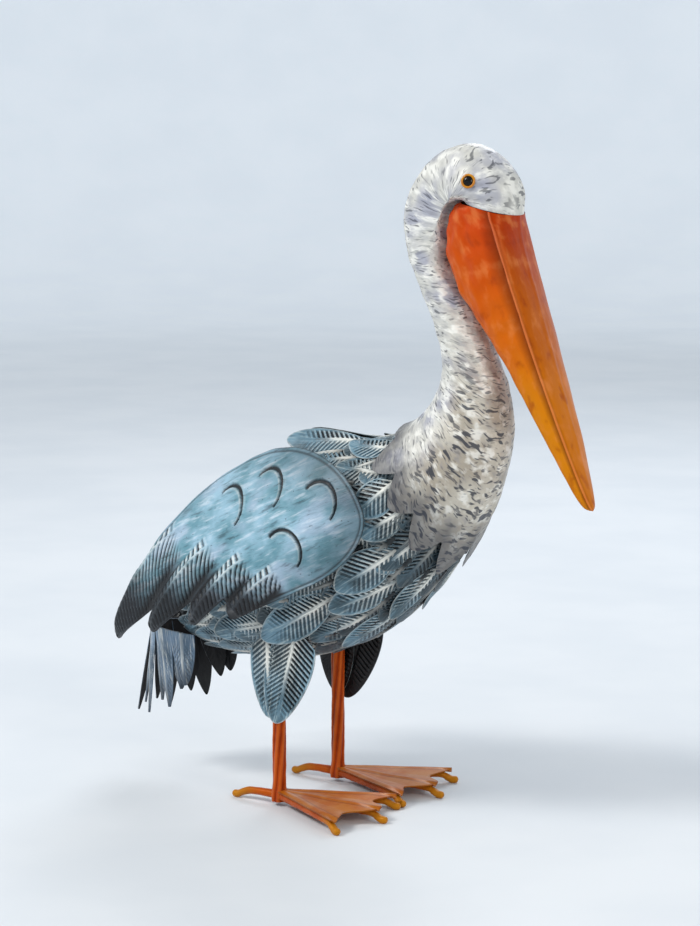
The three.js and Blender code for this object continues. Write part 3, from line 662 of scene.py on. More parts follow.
def bill_rail(s):
    """The bill's sections at s, with the bends between them rounded off."""
    s = np.asarray(s, float)
    room = np.minimum(SOFT, np.minimum(s, len(BILL_SECTIONS) - 1 - s))
    taps = {-1: 0.12, -0.5: 0.23, 0: 0.3, 0.5: 0.23, 1: 0.12}
    rows = sum(weight * rail(BILL_SECTIONS)(s + tap * room) for tap, weight in taps.items())
    corner = BILL_CORNER * np.sin(math.pi * np.clip(s, 0, 1))
    rows[..., 2] -= 0.7 * corner
    rows[..., 3] += 0.7 * corner
    return rows


def jaw_edge(s):
    """The middle of the edge where the two jaws meet, as x and z."""
    row = bill_rail(s)
    return row[..., 0:2] + (row[..., 2:4] - row[..., 0:2]) * row[..., 4:5]


def jaw_point(s, angle, upper):
    row, edge = bill_rail(s), jaw_edge(s)
    reach = row[..., 0:2] - edge if upper else row[..., 2:4] - edge
    power = 1.0 if upper else POUCH
    spot = edge + reach * (np.clip(np.cos(angle), 0, 1) ** power)[..., None]
    y = row[..., 5] * np.abs(np.sin(angle)) ** power * np.sign(np.sin(angle))
    return stacked(spot[..., 0], y, spot[..., 1])


def build_jaw(name, upper):
    last = len(BILL_SECTIONS) - 1
    rows, columns = 190, 97
    s = last * np.linspace(0, 1, rows)[:, None] + np.zeros(columns)
    turn = np.linspace(-1, 1, columns)
    angle = np.sign(turn) * np.abs(turn) ** (0.8 if upper else 1.25) * math.pi / 2
    angle = angle + np.zeros((rows, 1))
    points = jaw_point(s, angle, upper)
    across, along = np.gradient(points, axis=1), np.gradient(points, axis=0)
    normal = unit(np.cross(across, along)) * (-1 if upper else 1)
    edge = jaw_edge(s)
    middle = stacked(edge[..., 0], 0, edge[..., 1])
    length = run_length(middle[:, 0])
    share = (length / length[-1])[:, None] + np.zeros(columns)
    girth = np.cumsum(np.linalg.norm(across, axis=-1), axis=1)
    from_edge = np.minimum(girth - girth[:, :1], girth[:, -1:] - girth)
    size = ramp(0, 60, girth[:, -1:])
    ridge = np.zeros(s.shape)
    if upper:
        # The bead along the jaw's edge is raised and painted light, a painted highlight; the dark
        # line beside it is painted shade.
        ridge += bell(from_edge - 1.2, 1.0)
        groove = bell(from_edge - 3.4, 1.0) * 0.3
        crest = bell(points[..., 1], 2.6)
        relief = (0.9 * ridge + 0.7 * crest + 0.3 * ripple(points, 22, 8) - 0.3) * size
    else:
        dents = 0.2 + 0.8 * ramp(230, 50, length)[:, None]
        aside = ramp(3, 14, np.abs(points[..., 1]))
        hammered = 0.85 * ripple(points, 10, 5) + 0.4 * ripple(points, 6, 15)
        relief = (hammered - 0.5) * dents * size * aside
        # A dark band along the pouch's edge: painted shade where it meets the upper jaw.
        groove = bell(from_edge, 1.2)
    taper = np.sqrt(np.clip(1 - ramp(last - 0.75, last, s) ** 2.5 * 0.985, 0, 1))[..., None]
    points = middle + (points - middle) * taper + normal * (relief * taper[..., 0])[..., None]
    grain = stacked(girth, 0, length[:, None])
    values = {"share": share, "groove": groove, "ridge": ridge, "grain": grain}
    tube(name, points, values, RIDGE_PAINT if upper else POUCH_PAINT, flip=upper)


# The eye's place on the head, the half breadth of ring and ball, and how far each stands out.
EYE = {"section": 18.0, "angle": 70.0, "ring": 7.0, "ball": 4.7, "rim": 1.3, "bulge": 2.4}


def build_eyes():
    place, angle = EYE["section"], math.radians(EYE["angle"])
    for side, sign in SIDES.items():
        middle = body_point(place, angle * sign)
        axis = body_normal(place, angle * sign)
        first = unit(np.cross(axis, [0.0, 0.0, 1.0]))
        second = np.cross(axis, first)
        wide, ball = EYE["ring"], EYE["ball"]
        thick = (wide - ball) / 2
        turns = np.linspace(-0.6, math.pi + 0.4, 14)
        rim, bulge = EYE["rim"], EYE["bulge"]
        ring = [[(wide + ball) / 2 - math.cos(t) * thick, math.sin(t) * rim + 0.4] for t in turns]
        turns = np.linspace(0, math.pi / 2, 12)
        dome = [[(ball + 0.2) * math.sin(t), bulge * math.cos(t) + 0.2] for t in turns]
        for name, profile, material in (("eye_ring", ring, AMBER), ("eye", dome, BLACK)):
            radius, height = np.array(profile).T
            turn = full_turn(56)
            around = np.cos(turn)[:, None] * first + np.sin(turn)[:, None] * second
            points = middle + radius[:, None, None] * around + height[:, None, None] * axis
            tube(f"{name}_{side}", points, {}, material, flip=name == "eye")


# --- Feathers ---

PITCH = 5.5  # between the ribs of a feather
SLANT = 0.8  # how far a rib runs towards the tip for its reach across
# The places across half a feather, in millimetres: from its midrib, and from its edge.
INNER = [0.0, 0.9, 1.8, 2.7, 3.8]
OUTER = [4.4, 3.0, 1.9, 0.9, 0.0]
FULL = 12.0  # half breadth where those places fit
# The rows of points from one rib to the next, on large feathers and on small ones.
FINE = (0.0, 0.14, 0.4, 0.53, 0.95)
COARSE = (0.0, 0.42, 0.55, 0.95)
ROOT_LIFT = -4.2
TIP_LIFT = -1.8
LAYER_STEP = 1.4


def petal(along):
    """Half breadth of a leaf feather, from its root to its pointed tip, as a share."""
    return np.sin(math.pi * np.clip(along, 0, 1) ** 1.1) ** 0.62


def chevrons(outline, length, phases, offset):
    """A grid whose rows run along the slanted ribs: places along and across, and rib phases."""
    ribs = int(length / PITCH) + 1
    along = np.array([i + phase for i in range(ribs) for phase in phases]) * PITCH + offset
    along = np.concatenate([[0.4], along[(along > 0.6) & (along < length - 0.6)], [length - 0.05]])
    reach = np.zeros(len(along))
    step = 0.05
    for _ in range(900):
        inside = outline((along + SLANT * (reach + step)) / length) > reach + step
        reach = reach + step * inside
    scale = np.minimum(1, reach / FULL)[:, None]
    inner = np.array(INNER) * scale
    outer = reach[:, None] - np.array(OUTER) * scale
    share = np.array([0.33, 0.67])
    middle = inner[:, -1:] + (outer[:, :1] - inner[:, -1:]) * share
    half = np.concatenate([inner, middle, outer], axis=1)
    across = np.concatenate([-half[:, :0:-1], half], axis=1)
    spot = along[:, None] + SLANT * np.abs(across)
    phase = ((along - offset) / PITCH % 1)[:, None] + np.zeros_like(across)
    return spot, across, reach[:, None] + np.zeros_like(across), phase


def rib_relief(spot, across, reach, phase, length, plain=0.86):
    """Height, groove and ridge of a feather's midrib and ribs. Its lower half is cut deeper, and
    its slots are painted darker there as painted shade.
    """
    away = np.abs(across)
    scale = np.minimum(1, reach / FULL)
    start = spot - SLANT * away
    worn = ramp(0.85 * length, 0.15 * length, start)
    field = ramp(1.6 * scale, 2.6 * scale + 0.01, away)
    field = field * ramp(1.7 * scale, 3.1 * scale + 0.01, reach - away)
    field = field * ramp(plain * length, (plain - 0.3) * length, start)
    # The slots are painted darker on the leaf's lower half than on its upper half: painted shade on
    # the side turned from the light.
    slot = ((phase > 0.5) & (phase < 0.98)) * field * np.where(across > 0, 1, 0.6)
    midrib = bell(away, 1.0 + 2.2 * worn) * ramp(0.8 * length, 0.4 * length, spot)
    crest = ((phase > 0.02) & (phase < 0.45)) * field * np.exp(-away / 16) * worn
    height = 1.6 * midrib - 1.7 * slot
    # A pale line round the leaf's edge: a painted highlight.
    rim = 0.4 * ramp(1.2, 0.2, reach - away)
    return height, slot, np.clip(midrib * (0.25 + 0.9 * worn) + 0.8 * crest + rim, 0, 1)


def add_feather(shape, root, tip, breadth, layer, sign=1, roll=0, seed=0, fine=True, shade=0.0):
    """Lays one feather on the body. root and tip are a section and degrees from the back."""
    (s0, a0), (s1, a1) = root, tip
    a0, a1 = math.radians(a0) * sign, math.radians(a1) * sign
    start, end = body_point(s0, a0), body_point(s1, a1)
    length = float(np.linalg.norm(end - start))
    middle = body_normal((s0 + s1) / 2, (a0 + a1) / 2)
    side = unit(np.cross(middle, end - start)) * sign
    phases = FINE if fine else COARSE
    offset = 2.5 * math.sin(5.0 * seed)
    grid = chevrons(lambda along: breadth / 2 * petal(along), length, phases, offset)
    spot, across, reach, phase = grid
    along = spot / length
    target = start + (end - start) * along[..., None] + side * across[..., None]
    s, angle = drop_on_body(target, s0 + (s1 - s0) * along, a0 + (a1 - a0) * along)
    rise = TIP_LIFT - ROOT_LIFT + LAYER_STEP * layer
    height, slot, ridge = rib_relief(spot, across, reach, phase, length)
    aside = across / (breadth / 2)
    curl = 1.6 * ramp(0.7, 1.0, along) ** 2
    lift = ROOT_LIFT + rise * along + roll * aside * along - 1.2 * aside**2 + curl
    base = body_point(s, angle)
    normal = body_normal(s, angle)
    top = base + normal * (lift + LEAF / 2 + height)[..., None]
    bottom = base + normal * (lift - LEAF / 2 + 0.6 * height)[..., None]
    add_leaf(shape, top, bottom, spot, across, slot, ridge, seed, sign, shade)


def add_leaf(shape, top, bottom, along, across, slot, ridge, seed, sign, shade=0.0):
    grain = stacked(along + 37 * seed, across + 91 * seed, 13.0 * seed)
    dark = np.clip(shade + 0.6 * ramp(0.3 * along.max(), 0, along), 0, 1)
    values = {"groove": slot, "ridge": ridge, "shade": dark, "fade": 0 * dark, "grain": grain}
    shape.add_sheet(top, bottom, values, mirror=sign > 0)


# The larger feathers, as in CAD: root, tip, breadth, layer and roll.
FEATHERS = {
    "saddle": ((5, 12), (3.2, 12), 32, 8, 13),
    "mantle": ((6, 40), (4.6, 20), 34, 3, 0),
    "shoulder": ((5.7, 60), (4.5, 40), 36, 0, 0),
    "collar_upper": ((6.1, 75), (5, 80), 40, 2, 0),
    "collar_lower": ((6, 100), (5, 95), 35, 0, 0),
    "flank_upper": ((5.5, 120), (4.3, 115), 42, 5, 0),
    "flank_middle": ((5.2, 140), (4, 125), 40, 2, 0),
    "flank_lower": ((4.2, 120), (2.8, 130), 40, 6, -9),
    "belly_front": ((5.7, 165), (4.6, 160), 36, 2, 0),
    "belly_middle": ((5, 165), (3.7, 160), 36, 1, 0),
    "vent_front": ((3, 125), (1.9, 130), 40, 2, 0),
    "vent_rear": ((2.3, 110), (0.8, 140), 36, 0, 0),
}
# Feathers that show in the gaps between those: root, tip, breadth and layer.
LOWER = [
    ((5.5, 96), (4.2, 100), 40, -1.4),
    ((4.5, 104), (3, 112), 42, -0.6),
    ((3.2, 106), (1.9, 114), 40, -0.6),
    ((4.5, 146), (3.4, 143), 38, 0.2),
    ((3.7, 155), (2.3, 150), 44, -0.6),
    ((5.9, 128), (5, 122), 38, -0.6),
]


# The rows of small feathers that cover the trunk, as in CAD.
ROWS = [0.6, 1.2, 1.75, 2.25, 2.75, 3.3, 3.85, 4.45, 5.1, 5.75]
ROW_COUNT = 16
TILE = 4.5
BELLY = (108, 126)


def build_coat(side, sign):
    shape = Shape()
    draw = random.Random(11)
    for row, end in enumerate(ROWS):
        half = float(body_rail(np.array(end + 0.4))[4])
        for i in range(ROW_COUNT // 2 + 1):
            angle = (i + 0.5 * ((row + 1) % 2)) * 360 / ROW_COUNT
            if angle > 180:
                continue
            fade = float(ramp(BELLY[0], BELLY[1], angle))
            low = float(ramp(50, 80, angle) * ramp(2.2, 3, end))
            breadth = 2.3 * half / ROW_COUNT * 3.4 * draw.uniform(0.9, 1.05)
            layer = 0.5 - TILE * (1 - fade) / LAYER_STEP * 0.55
            layer = layer + draw.uniform(-0.4, 0.4) - 1.2 * low
            reach = 1.15 if end > 1.5 else 1.3
            tip = (end, angle + draw.uniform(-3, 3))
            root = (min(end + reach, 6.25), angle)
            looks = {"seed": 20 + row * 17 + i, "fine": False, "shade": 0.15 + 0.55 * low}
            add_feather(shape, root, tip, breadth, layer, sign, **looks)
    for number, (root, tip, breadth, layer) in enumerate(LOWER):
        add_feather(shape, root, tip, breadth, layer, sign, seed=200 + number, shade=0.1)
    piece(f"feathers_{side}", shape, FEATHER, ())


def build_feathers():
    for side, sign in SIDES.items():
        for number, (name, (root, tip, breadth, layer, roll)) in enumerate(FEATHERS.items()):
            shape = Shape()
            add_feather(shape, root, tip, breadth, layer, sign, roll, seed=number + 1)
            piece(f"feather_{name}_{side}", shape, FEATHER)
        build_coat(side, sign)


THIGH = {
    "thigh_front": ((29, 64.6, 188), (4, 65, 87), 70),
    "thigh_rear": ((-8, 62.6, 180), (-6, 62.6, 91), 54),
}
THIGH_TAPER = 0.4


def build_thighs():
    for side, sign in SIDES.items():
        for number, (name, (root, tip, breadth)) in enumerate(THIGH.items()):
            start, end = np.array(root, float), np.array(tip, float)
            length = float(np.linalg.norm(end - start))

            def outline(along, breadth=breadth):
                along = np.clip(along, 0, 1)
                oval = np.sqrt(np.clip(1 - (2 * along - 1) ** 2, 0, 1))
                return breadth / 2 * (1 - THIGH_TAPER * along) * oval

            spot, across, reach, phase = chevrons(outline, length, FINE, number)
            height, slot, ridge = rib_relief(spot, across, reach, phase, length, 0.97)
            down = (end - start) / length
            middle = start + down * spot[..., None]
            middle[..., 0] += across
            bend = -0.0022 * across**2
            top, bottom = middle.copy(), middle.copy()
            top[..., 1] += bend + LEAF / 2 + height
            bottom[..., 1] += bend - LEAF / 2 + 0.8 * height
            for grid in (top, bottom):
                grid[..., 1] *= sign
            shape = Shape()
            add_leaf(shape, top, bottom, spot, across, slot, ridge, number + 3, sign)
            piece(f"{name}_{side}", shape, FEATHER)


# --- Wings ---

DOME = {"x": 30, "z": 262, "slope": 25.5, "u": 300, "v": 118, "y": 102}
CAMBER = 2.5
BLANK = {"u": 80, "v": 36, "half_u": 196, "half_v": 80}
# The plate's round front and the fall behind its shoulder, as in CAD.
PLATE = {"front": -110, "level": 12, "crown": 33, "top": 112, "heel": -24, "foot": -36}
SHOULDER = 88
FALL = 64
# The fingers' tips, the notches between them and their slopes, as in CAD.
FINGER = {"count": 4, "tip": (260, 4), "step": (-70, -11), "closing": 9, "slope": 27, "easing": 4}
NOTCH = {"back": 12, "closing": 6, "rise": 16, "run": 48}
TIP_ROUND = 7
# How far a finger's fold reaches over its crest and under it, and how much less each next one.
REACH = {"over": 12, "less_over": 1, "under": 24, "less_under": 2, "first_under": 7}
# The folds' crests and the crescents, as in CAD but for the folds' height.
FOLD = {"length": 154, "shorter": 26, "bow": 3, "height": 7.5}
CRESCENT = {"radius": 21, "from": 65, "to": 245}
CRESCENT_MIDDLES = [(46, 68), (-6, 68), (-66, 34), (-12, 5)]


def arc(middle, half, start, end, steps=30):
    """Points on an ellipse about middle, from one angle in degrees to another."""
    turn = np.radians(np.linspace(start, end, steps + 1))
    return np.array(middle) + stacked(half[0] * np.cos(turn), half[1] * np.sin(turn))


def bow_line(start, middle, end, steps=30):
    """The curve that leaves start towards middle and comes from middle into end."""
    t = np.linspace(0, 1, steps + 1)[:, None]
    return (1 - t) ** 2 * start + 2 * t * (1 - t) * middle + t * t * end


def fingers():
    """The middle of each finger's round tip, the notch below it and the slope of its crest."""
    number = np.arange(FINGER["count"] + 1)
    shortened = FINGER["closing"] * number * (number - 1) / 2
    u = FINGER["tip"][0] + FINGER["step"][0] * number + shortened
    tips = stacked(u, FINGER["tip"][1] + FINGER["step"][1] * number)
    back = NOTCH["back"] - NOTCH["closing"] * number[:-1]
    notches = tips[1:] + stacked(-back, NOTCH["rise"])
    notches[-1] = PLATE["heel"] + NOTCH["run"], PLATE["foot"]
    return list(zip(tips[:-1], notches, FINGER["slope"] - FINGER["easing"] * number))


def plate_outline():
    front, level, crown, top, heel, foot = PLATE.values()
    half = (crown - front, top - level)
    end = math.acos((SHOULDER - crown) / half[0])
    over = arc((crown, level), half, 180, math.degrees(end))
    way = unit(np.array([half[0] * math.sin(end), -half[1] * math.cos(end)]))
    bow = over[-1] + FALL * way
    runs, before = [over], bow
    for tip, notch, _ in fingers():
        ways = (tip - before, notch - tip)
        into, away = (math.degrees(math.atan2(way[1], way[0])) + 90 for way in ways)
        end_round = arc(tip, (TIP_ROUND, TIP_ROUND), into, away - 360, 12)
        if before is bow:
            runs.append(bow_line(over[-1], bow, end_round[0])[1:-1])
        runs += [end_round, notch[None]]
        before = notch
    runs.append(arc((heel, level), (heel - front, level - foot), 270, 180)[:-1])
    return np.concatenate(runs)


def crest_line(number):
    tip, _, degrees = fingers()[number]
    slope = math.radians(degrees)
    rise = np.array([-math.cos(slope), math.sin(slope)])
    root = tip + rise * (FOLD["length"] - number * FOLD["shorter"])
    middle = (tip + root) / 2 + np.array([rise[1], -rise[0]]) * 2 * FOLD["bow"]
    return bow_line(root, middle, tip)


def crescent_line(middle):
    radius = CRESCENT["radius"]
    return arc(middle, (radius, radius), CRESCENT["from"], CRESCENT["to"])


def inside_outline(points, outline):
    inside = np.zeros(len(points), bool)
    for (x0, y0), (x1, y1) in zip(outline, np.roll(outline, -1, axis=0)):
        crosses = (points[:, 1] < y0) != (points[:, 1] < y1)
        with np.errstate(divide="ignore", invalid="ignore"):
            at = x0 + (points[:, 1] - y0) * (x1 - x0) / (y1 - y0)
        inside ^= crosses & (points[:, 0] < at)
    return inside


def near_line(points, line):
    """Distance from a line, length along it, and the side of it, for each point."""
    best = np.full(len(points), 1e9)
    run = np.zeros(len(points))
    side = np.zeros(len(points))
    length = 0.0
    for start, end in zip(line[:-1], line[1:]):
        way = end - start
        size = float(np.hypot(*way))
        share = np.clip(((points - start) @ way) / size**2, 0, 1)
        gap = points - start - share[:, None] * way
        distance = np.hypot(gap[:, 0], gap[:, 1])
        closer = distance < best
        best[closer] = distance[closer]
        run[closer] = length + share[closer] * size
        side[closer] = np.sign(way[0] * gap[closer, 1] - way[1] * gap[closer, 0])
        length += size
    return best, run, side, length


def dome_point(u, v, lift):
    slope = math.radians(DOME["slope"])
    back = np.array([-math.cos(slope), 0, -math.sin(slope)])
    up = np.array([-math.sin(slope), 0, math.cos(slope)])
    y = DOME["y"] * np.sqrt(np.maximum(1 - (u / DOME["u"]) ** 2 - (v / DOME["v"]) ** 2, 0.02))
    out = stacked(0, y / DOME["y"] ** 2, 0)
    out += (u / DOME["u"] ** 2)[:, None] * back + (v / DOME["v"] ** 2)[:, None] * up
    spot = np.array([DOME["x"], 0, DOME["z"]]) + u[:, None] * back + v[:, None] * up
    spot[:, 1] += y
    return spot + unit(out) * lift[:, None]


BARB = 7.4  # between the ribs of a finger
MESH_STEP = 1.25  # between the plate's points


def finger_relief(points, border):
    """Height, groove, ridge, fade and shade of the ribbed folds along the fingers."""
    found = [near_line(points, crest_line(number)) for number in range(FINGER["count"])]
    spans = []
    for number, (distance, _, side, _) in enumerate(found):
        over = REACH["over"] - REACH["less_over"] * number
        under = REACH["under"] - REACH["less_under"] * number + REACH["first_under"] * (number == 0)
        spans.append(distance / np.where(side > 0, over, under))
    nearest = np.argmin(spans, axis=0)
    height, groove, ridge, fade, shade = np.zeros((5, len(points)))
    for number, (distance, run, side, length) in enumerate(found):
        own, aside, share = nearest == number, spans[number], run / length
        swell = own * ramp(-0.02, 0.26, share) * ramp(1.1, 0.86, share)
        fold = np.clip(1 - aside, 0, 1) * swell
        phase = np.where(side > 0, run, run - 1.3 * distance) / BARB % 1
        slot = ramp(0.0, 0.14, phase) * ramp(0.56, 0.42, phase)
        field = own * ramp(0.0, 0.12, share) * ramp(0.6, 1.9, distance)
        field = field * ramp(1.2, 2.8, border) * ramp(1.0, 0.86, aside)
        cut = slot * field
        # The valleys between the folds are sunk and painted near black: painted shade between the
        # fingers.
        valley = swell * ramp(0.64, 0.94, aside) * ramp(1.5, 1.0, aside)
        valley = valley * np.where(side > 0, ramp(0.25, 0.5, share), 1)
        height += FOLD["height"] * fold - 1.5 * cut - 1.2 * valley
        groove += cut + valley
        # The crest line and the rungs are painted light, a painted highlight that is stronger on
        # the upper facet facing the light; the lower facet gets painted shade.
        spine = swell * bell(distance, 1.0)
        crest = ramp(0.54, 0.66, phase) * ramp(0.98, 0.88, phase) * field
        ridge += 0.7 * spine + crest * np.where(side > 0, 0.65, 0.5 * np.exp(-distance / 14))
        fade += own * ramp(0.28, 0.66, share)
        shade += swell * np.where(side > 0, 0, 0.1 + 0.35 * aside)
    return height, groove, ridge * (1 - 0.85 * np.clip(fade, 0, 1)), fade, shade


def wing_relief(points, border):
    height, groove, ridge, fade, shade = finger_relief(points, border)
    for middle in CRESCENT_MIDDLES:
        distance, run, side, length = near_line(points, crescent_line(middle))
        share = run / length
        taper = 0.55 + 0.45 * ramp(1.0, 0.55, share)
        ends = (share > 0) & (share < 1)
        # Each crescent is pressed in and painted dark, painted shade in the hollow; its inner lip
        # is painted light, a painted highlight.
        dent = ramp(2.4, 1.3, distance / taper)
        lip = bell(distance / taper - 3.1, 1.1) * ends
        height += 0.9 * lip - 1.6 * dent
        groove += dent
        ridge += lip * np.where(side > 0, 0.4, 0.12)
    rim = bell(border - 3.6, 0.9) * ramp(0.5, 0.0, fade)
    height += 0.5 * ramp(3.2, 1.5, border) - 0.8 * rim
    groove += 0.85 * rim + 0.75 * ramp(1.0, 0.2, border)
    shade = shade + 0.6 * ramp(60, 4, border) * ramp(70, -90, points[:, 0])
    return height, [np.clip(value, 0, 1) for value in (groove, ridge, fade, shade)]


def build_wings():
    outline = plate_outline()
    closed = np.concatenate([outline, outline[:1]])
    low, high = outline.min(axis=0), outline.max(axis=0)
    across, up = np.arange(low[0], high[0], MESH_STEP), np.arange(low[1], high[1], MESH_STEP * 0.87)
    u, v = np.meshgrid(across, up)
    u[1::2] += MESH_STEP / 2
    spots = stacked(u.ravel(), v.ravel())
    spots = spots[inside_outline(spots, outline) & (near_line(spots, closed)[0] > 0.9)]
    rim = resampled(closed, MESH_STEP)
    every = np.concatenate([rim, spots])
    loop = [(i, (i + 1) % len(rim)) for i in range(len(rim))]
    flat = [Vector(spot) for spot in every]
    made, _, faces, *_ = delaunay_2d_cdt(flat, loop, [], 1, 1e-5)
    made = np.array([tuple(spot) for spot in made])
    faces = [list(face) for face in faces]
    border = near_line(made, closed)[0]
    height, looks = wing_relief(made, border)
    crown = CAMBER * (
        1 - ((made[:, 0] - BLANK["u"]) / BLANK["half_u"]) ** 2
        - ((made[:, 1] - BLANK["v"]) / BLANK["half_v"]) ** 2
    )
    dents = 0.5 * ripple(made, 26, 4) - 0.4
    lift = crown + dents - 1.2 * ramp(3.5, 0, border)
    top = dome_point(made[:, 0], made[:, 1], lift + SHEET / 2 + height)
    bottom = dome_point(made[:, 0], made[:, 1], lift - SHEET / 2 + 0.7 * height)
    values = dict(zip(("groove", "ridge", "fade", "shade"), looks))
    values["grain"] = stacked(made[:, 0], made[:, 1], 0)
    count = len(made)
    edges = boundary(faces)
    for side, sign in SIDES.items():
        shape = Shape()
        shape.add_points(top * [1, sign, 1], {**values, "under": np.zeros(count)})
        shape.add_points(bottom * [1, sign, 1], {**values, "under": np.ones(count)})
        turn = -sign
        for face in faces:
            upper = face[::turn]
            shape.faces += [upper, [i + count for i in upper[::-1]]]
        for i, j in edges:
            shape.faces.append([i, i + count, j + count, j][::turn])
        piece(f"wing_{side}", shape, WING)


def resampled(closed, step):
    length = run_length(closed)
    at = np.linspace(0, length[-1], int(length[-1] / step), endpoint=False)
    return stacked(*(np.interp(at, length, closed[:, i]) for i in (0, 1)))


def boundary(faces):
    """The edges that only one face uses, in that face's direction."""
    edges = {(a, b) for face in faces for a, b in zip(face, face[1:] + face[:1])}
    return [(a, b) for a, b in edges if (b, a) not in edges]


# --- Tail ---

SKIRT = {"x": -118, "top": 158, "length": 78, "half": 37, "pitch": 25.7}
# Each blade: its place round the skirt, in pitches from the rear, and its tip.
BLADES = [(3, (-128, 41, 104)), (2, (-155, 33, 76)), (1, (-193, 18, 62))]
LAST_BLADE = (0, (-221, 0, 58))
# Shorter blades that hang behind the gaps, further in by INSET.
INNER_BLADES = [(2.5, (-139, 37, 98)), (1.5, (-172, 26, 80)), (0.5, (-206, 10, 70))]
INSET = 2.2
BLADE_HALF = 17  # half breadth of a blade
BLADE_BARB = 6  # between its ribs


def skirt_point(turn):
    angle = np.radians(turn * SKIRT["pitch"])
    x = SKIRT["x"] - SKIRT["length"] * np.cos(angle)
    return stacked(x, SKIRT["half"] * np.sin(angle), SKIRT["top"])


def add_blade(shape, turn, tip, sign, seed, inset=0.0):
    along = np.linspace(0, 1, 60)[:, None] + np.zeros(25)
    aside = np.linspace(-1, 1, 25) + np.zeros((60, 1))
    middle = skirt_point(np.array(float(turn)))
    fall = np.array(tip, float) - middle
    length = float(np.linalg.norm(fall))
    narrow = 0.04 + 0.96 * (1 - along**2.4) ** 0.8
    spot = skirt_point(turn + aside * 0.5 * narrow)
    outward = unit((spot - [SKIRT["x"], 0, 0]) * [1, 1, 0])
    half = BLADE_HALF * narrow
    across = aside * half
    phase = (along * length - 1.3 * np.abs(across)) / BLADE_BARB
    wave = 0.5 + 0.5 * np.cos(2 * math.pi * phase)
    cut = ramp(0.55, 0.9, wave) * ramp(1.5, 4, np.abs(across)) * 0.6
    cut = cut * ramp(0.5, 3, half - np.abs(across)) * ramp(0.15, 0.4, along)
    spine = bell(across, 1.6) * ramp(0.95, 0.6, along)
    height = 0.9 * spine - 0.7 * cut - 2.2 * aside**2 * along
    spot = spot + fall * along[..., None] - inset * outward
    top = spot + outward * (SHEET / 2 + height)[..., None]
    bottom = spot + outward * (0.6 * height - SHEET / 2)[..., None]
    fade = ramp(0.35, 1.0, along) * 0.8
    grain = stacked(along * length, across, 9.0 * seed)
    values = {"groove": cut, "ridge": 0.6 * spine, "shade": 0 * cut, "fade": fade, "grain": grain}
    for grid in (top, bottom):
        grid[..., 1] *= sign
    shape.add_sheet(top, bottom, values, mirror=sign < 0)


def build_tail():
    for side, sign in SIDES.items():
        shape = Shape()
        for number, (turn, tip) in enumerate(BLADES):
            add_blade(shape, turn, tip, sign, number)
        for number, (turn, tip) in enumerate(INNER_BLADES):
            add_blade(shape, turn, tip, sign, 10 + number, INSET)
        piece(f"tail_{side}", shape, TAIL)
    shape = Shape()
    add_blade(shape, *LAST_BLADE, 1, 5)
    piece("tail_rear", shape, TAIL)


# --- Legs and feet ---

LEG_ROD = 14
TOE_ROD = 8
TOE_LEVEL = 10
FLUTES = 6
TWIST = 2.6
LEG_TOP = 196
LEG_FOOT = 4
TWIST_RUN = 190  # the length over which a leg turns by its twist
TOES = {"inner": (-24, 124), "middle": (0, 129), "outer": (28.5, 126), "hind": (180, 58)}
WEB_REACH = 117
WEB_DIP = 17
WEB_LEVEL = TOE_LEVEL + TOE_ROD / 2 + GAP + SHEET / 2


def heading(degrees, distance, z):
    angle = np.radians(degrees)
    return stacked(distance * np.cos(angle), distance * np.sin(angle), z)


def on_side(points, sign):
    return (points + [0, LEG_Y, 0]) * [1, sign, 1]


def build_leg(side, sign):
    rows, columns = 150, 72
    share = np.linspace(0, 1, rows)[:, None]
    flute = full_turn(columns)
    z = LEG_FOOT + (LEG_TOP - LEG_FOOT) * share
    angle = sign * (flute + TWIST * (z - TOE_LEVEL) / TWIST_RUN)
    strand = np.abs(np.cos(FLUTES / 2 * flute)) + np.zeros_like(z)
    swell = 1 + 0.25 * bell(z - TOE_LEVEL, 8)
    radius = LEG_ROD / 2 * (0.84 + 0.16 * strand) * swell
    points = stacked(radius * np.cos(angle), radius * np.sin(angle), z)
    points = points + unit(points * [1, 1, 0]) * (0.15 * ripple(points, 9, 6))[..., None]
    values = {
        # Painted shade between the twisted strands and painted highlights along their crests.
        "groove": ramp(0.45, 0.0, strand) * 0.65,
        "ridge": ramp(0.55, 1, strand) * 0.9,
        "fade": np.zeros(radius.shape),
        "grain": points,
    }
    tube(f"leg_{side}", on_side(points, sign), values, LEG)


def build_toe(name, side, sign):
    degrees, reach = TOES[name]
    rest = TOE_ROD / 2 - 0.35
    stations = [
        [3, TOE_LEVEL - 0.5, 4.6],
        [12, TOE_LEVEL, 4.3],
        [0.45 * reach, TOE_LEVEL, 4.0],
        [reach - 22, TOE_LEVEL - 0.6, 3.9],
        [reach - 13, TOE_LEVEL - 3.4, 3.9],
        [reach - 7, rest, 4.0],
        [reach - 2.5, rest, 3.6],
        [reach - 0.8, rest, 2.4],
        [reach, rest, 0.3],
    ]
    rows = rail(stations)(np.linspace(0, len(stations) - 1, 110))
    columns = 32
    turn = full_turn(columns)
    distance, level, radius = (rows[:, i : i + 1] for i in range(3))
    points = heading(degrees, distance + np.zeros(columns), level + radius * np.cos(turn))
    points = points + heading(degrees + 90, radius * np.sin(turn), np.zeros((len(rows), columns)))
    points = points + (0.2 * ripple(points, 8, 7))[..., None] * [0, 0, 1]
    points[..., 2] = np.maximum(points[..., 2], 0)
    fade = ramp(reach - 40, reach - 4, distance) + np.zeros(columns)
    zero = np.zeros(fade.shape)
    values = {"groove": zero, "ridge": zero, "fade": fade, "grain": points}
    tube(f"toe_{name}_{side}", on_side(points, sign), values, TOE, flip=sign < 0)


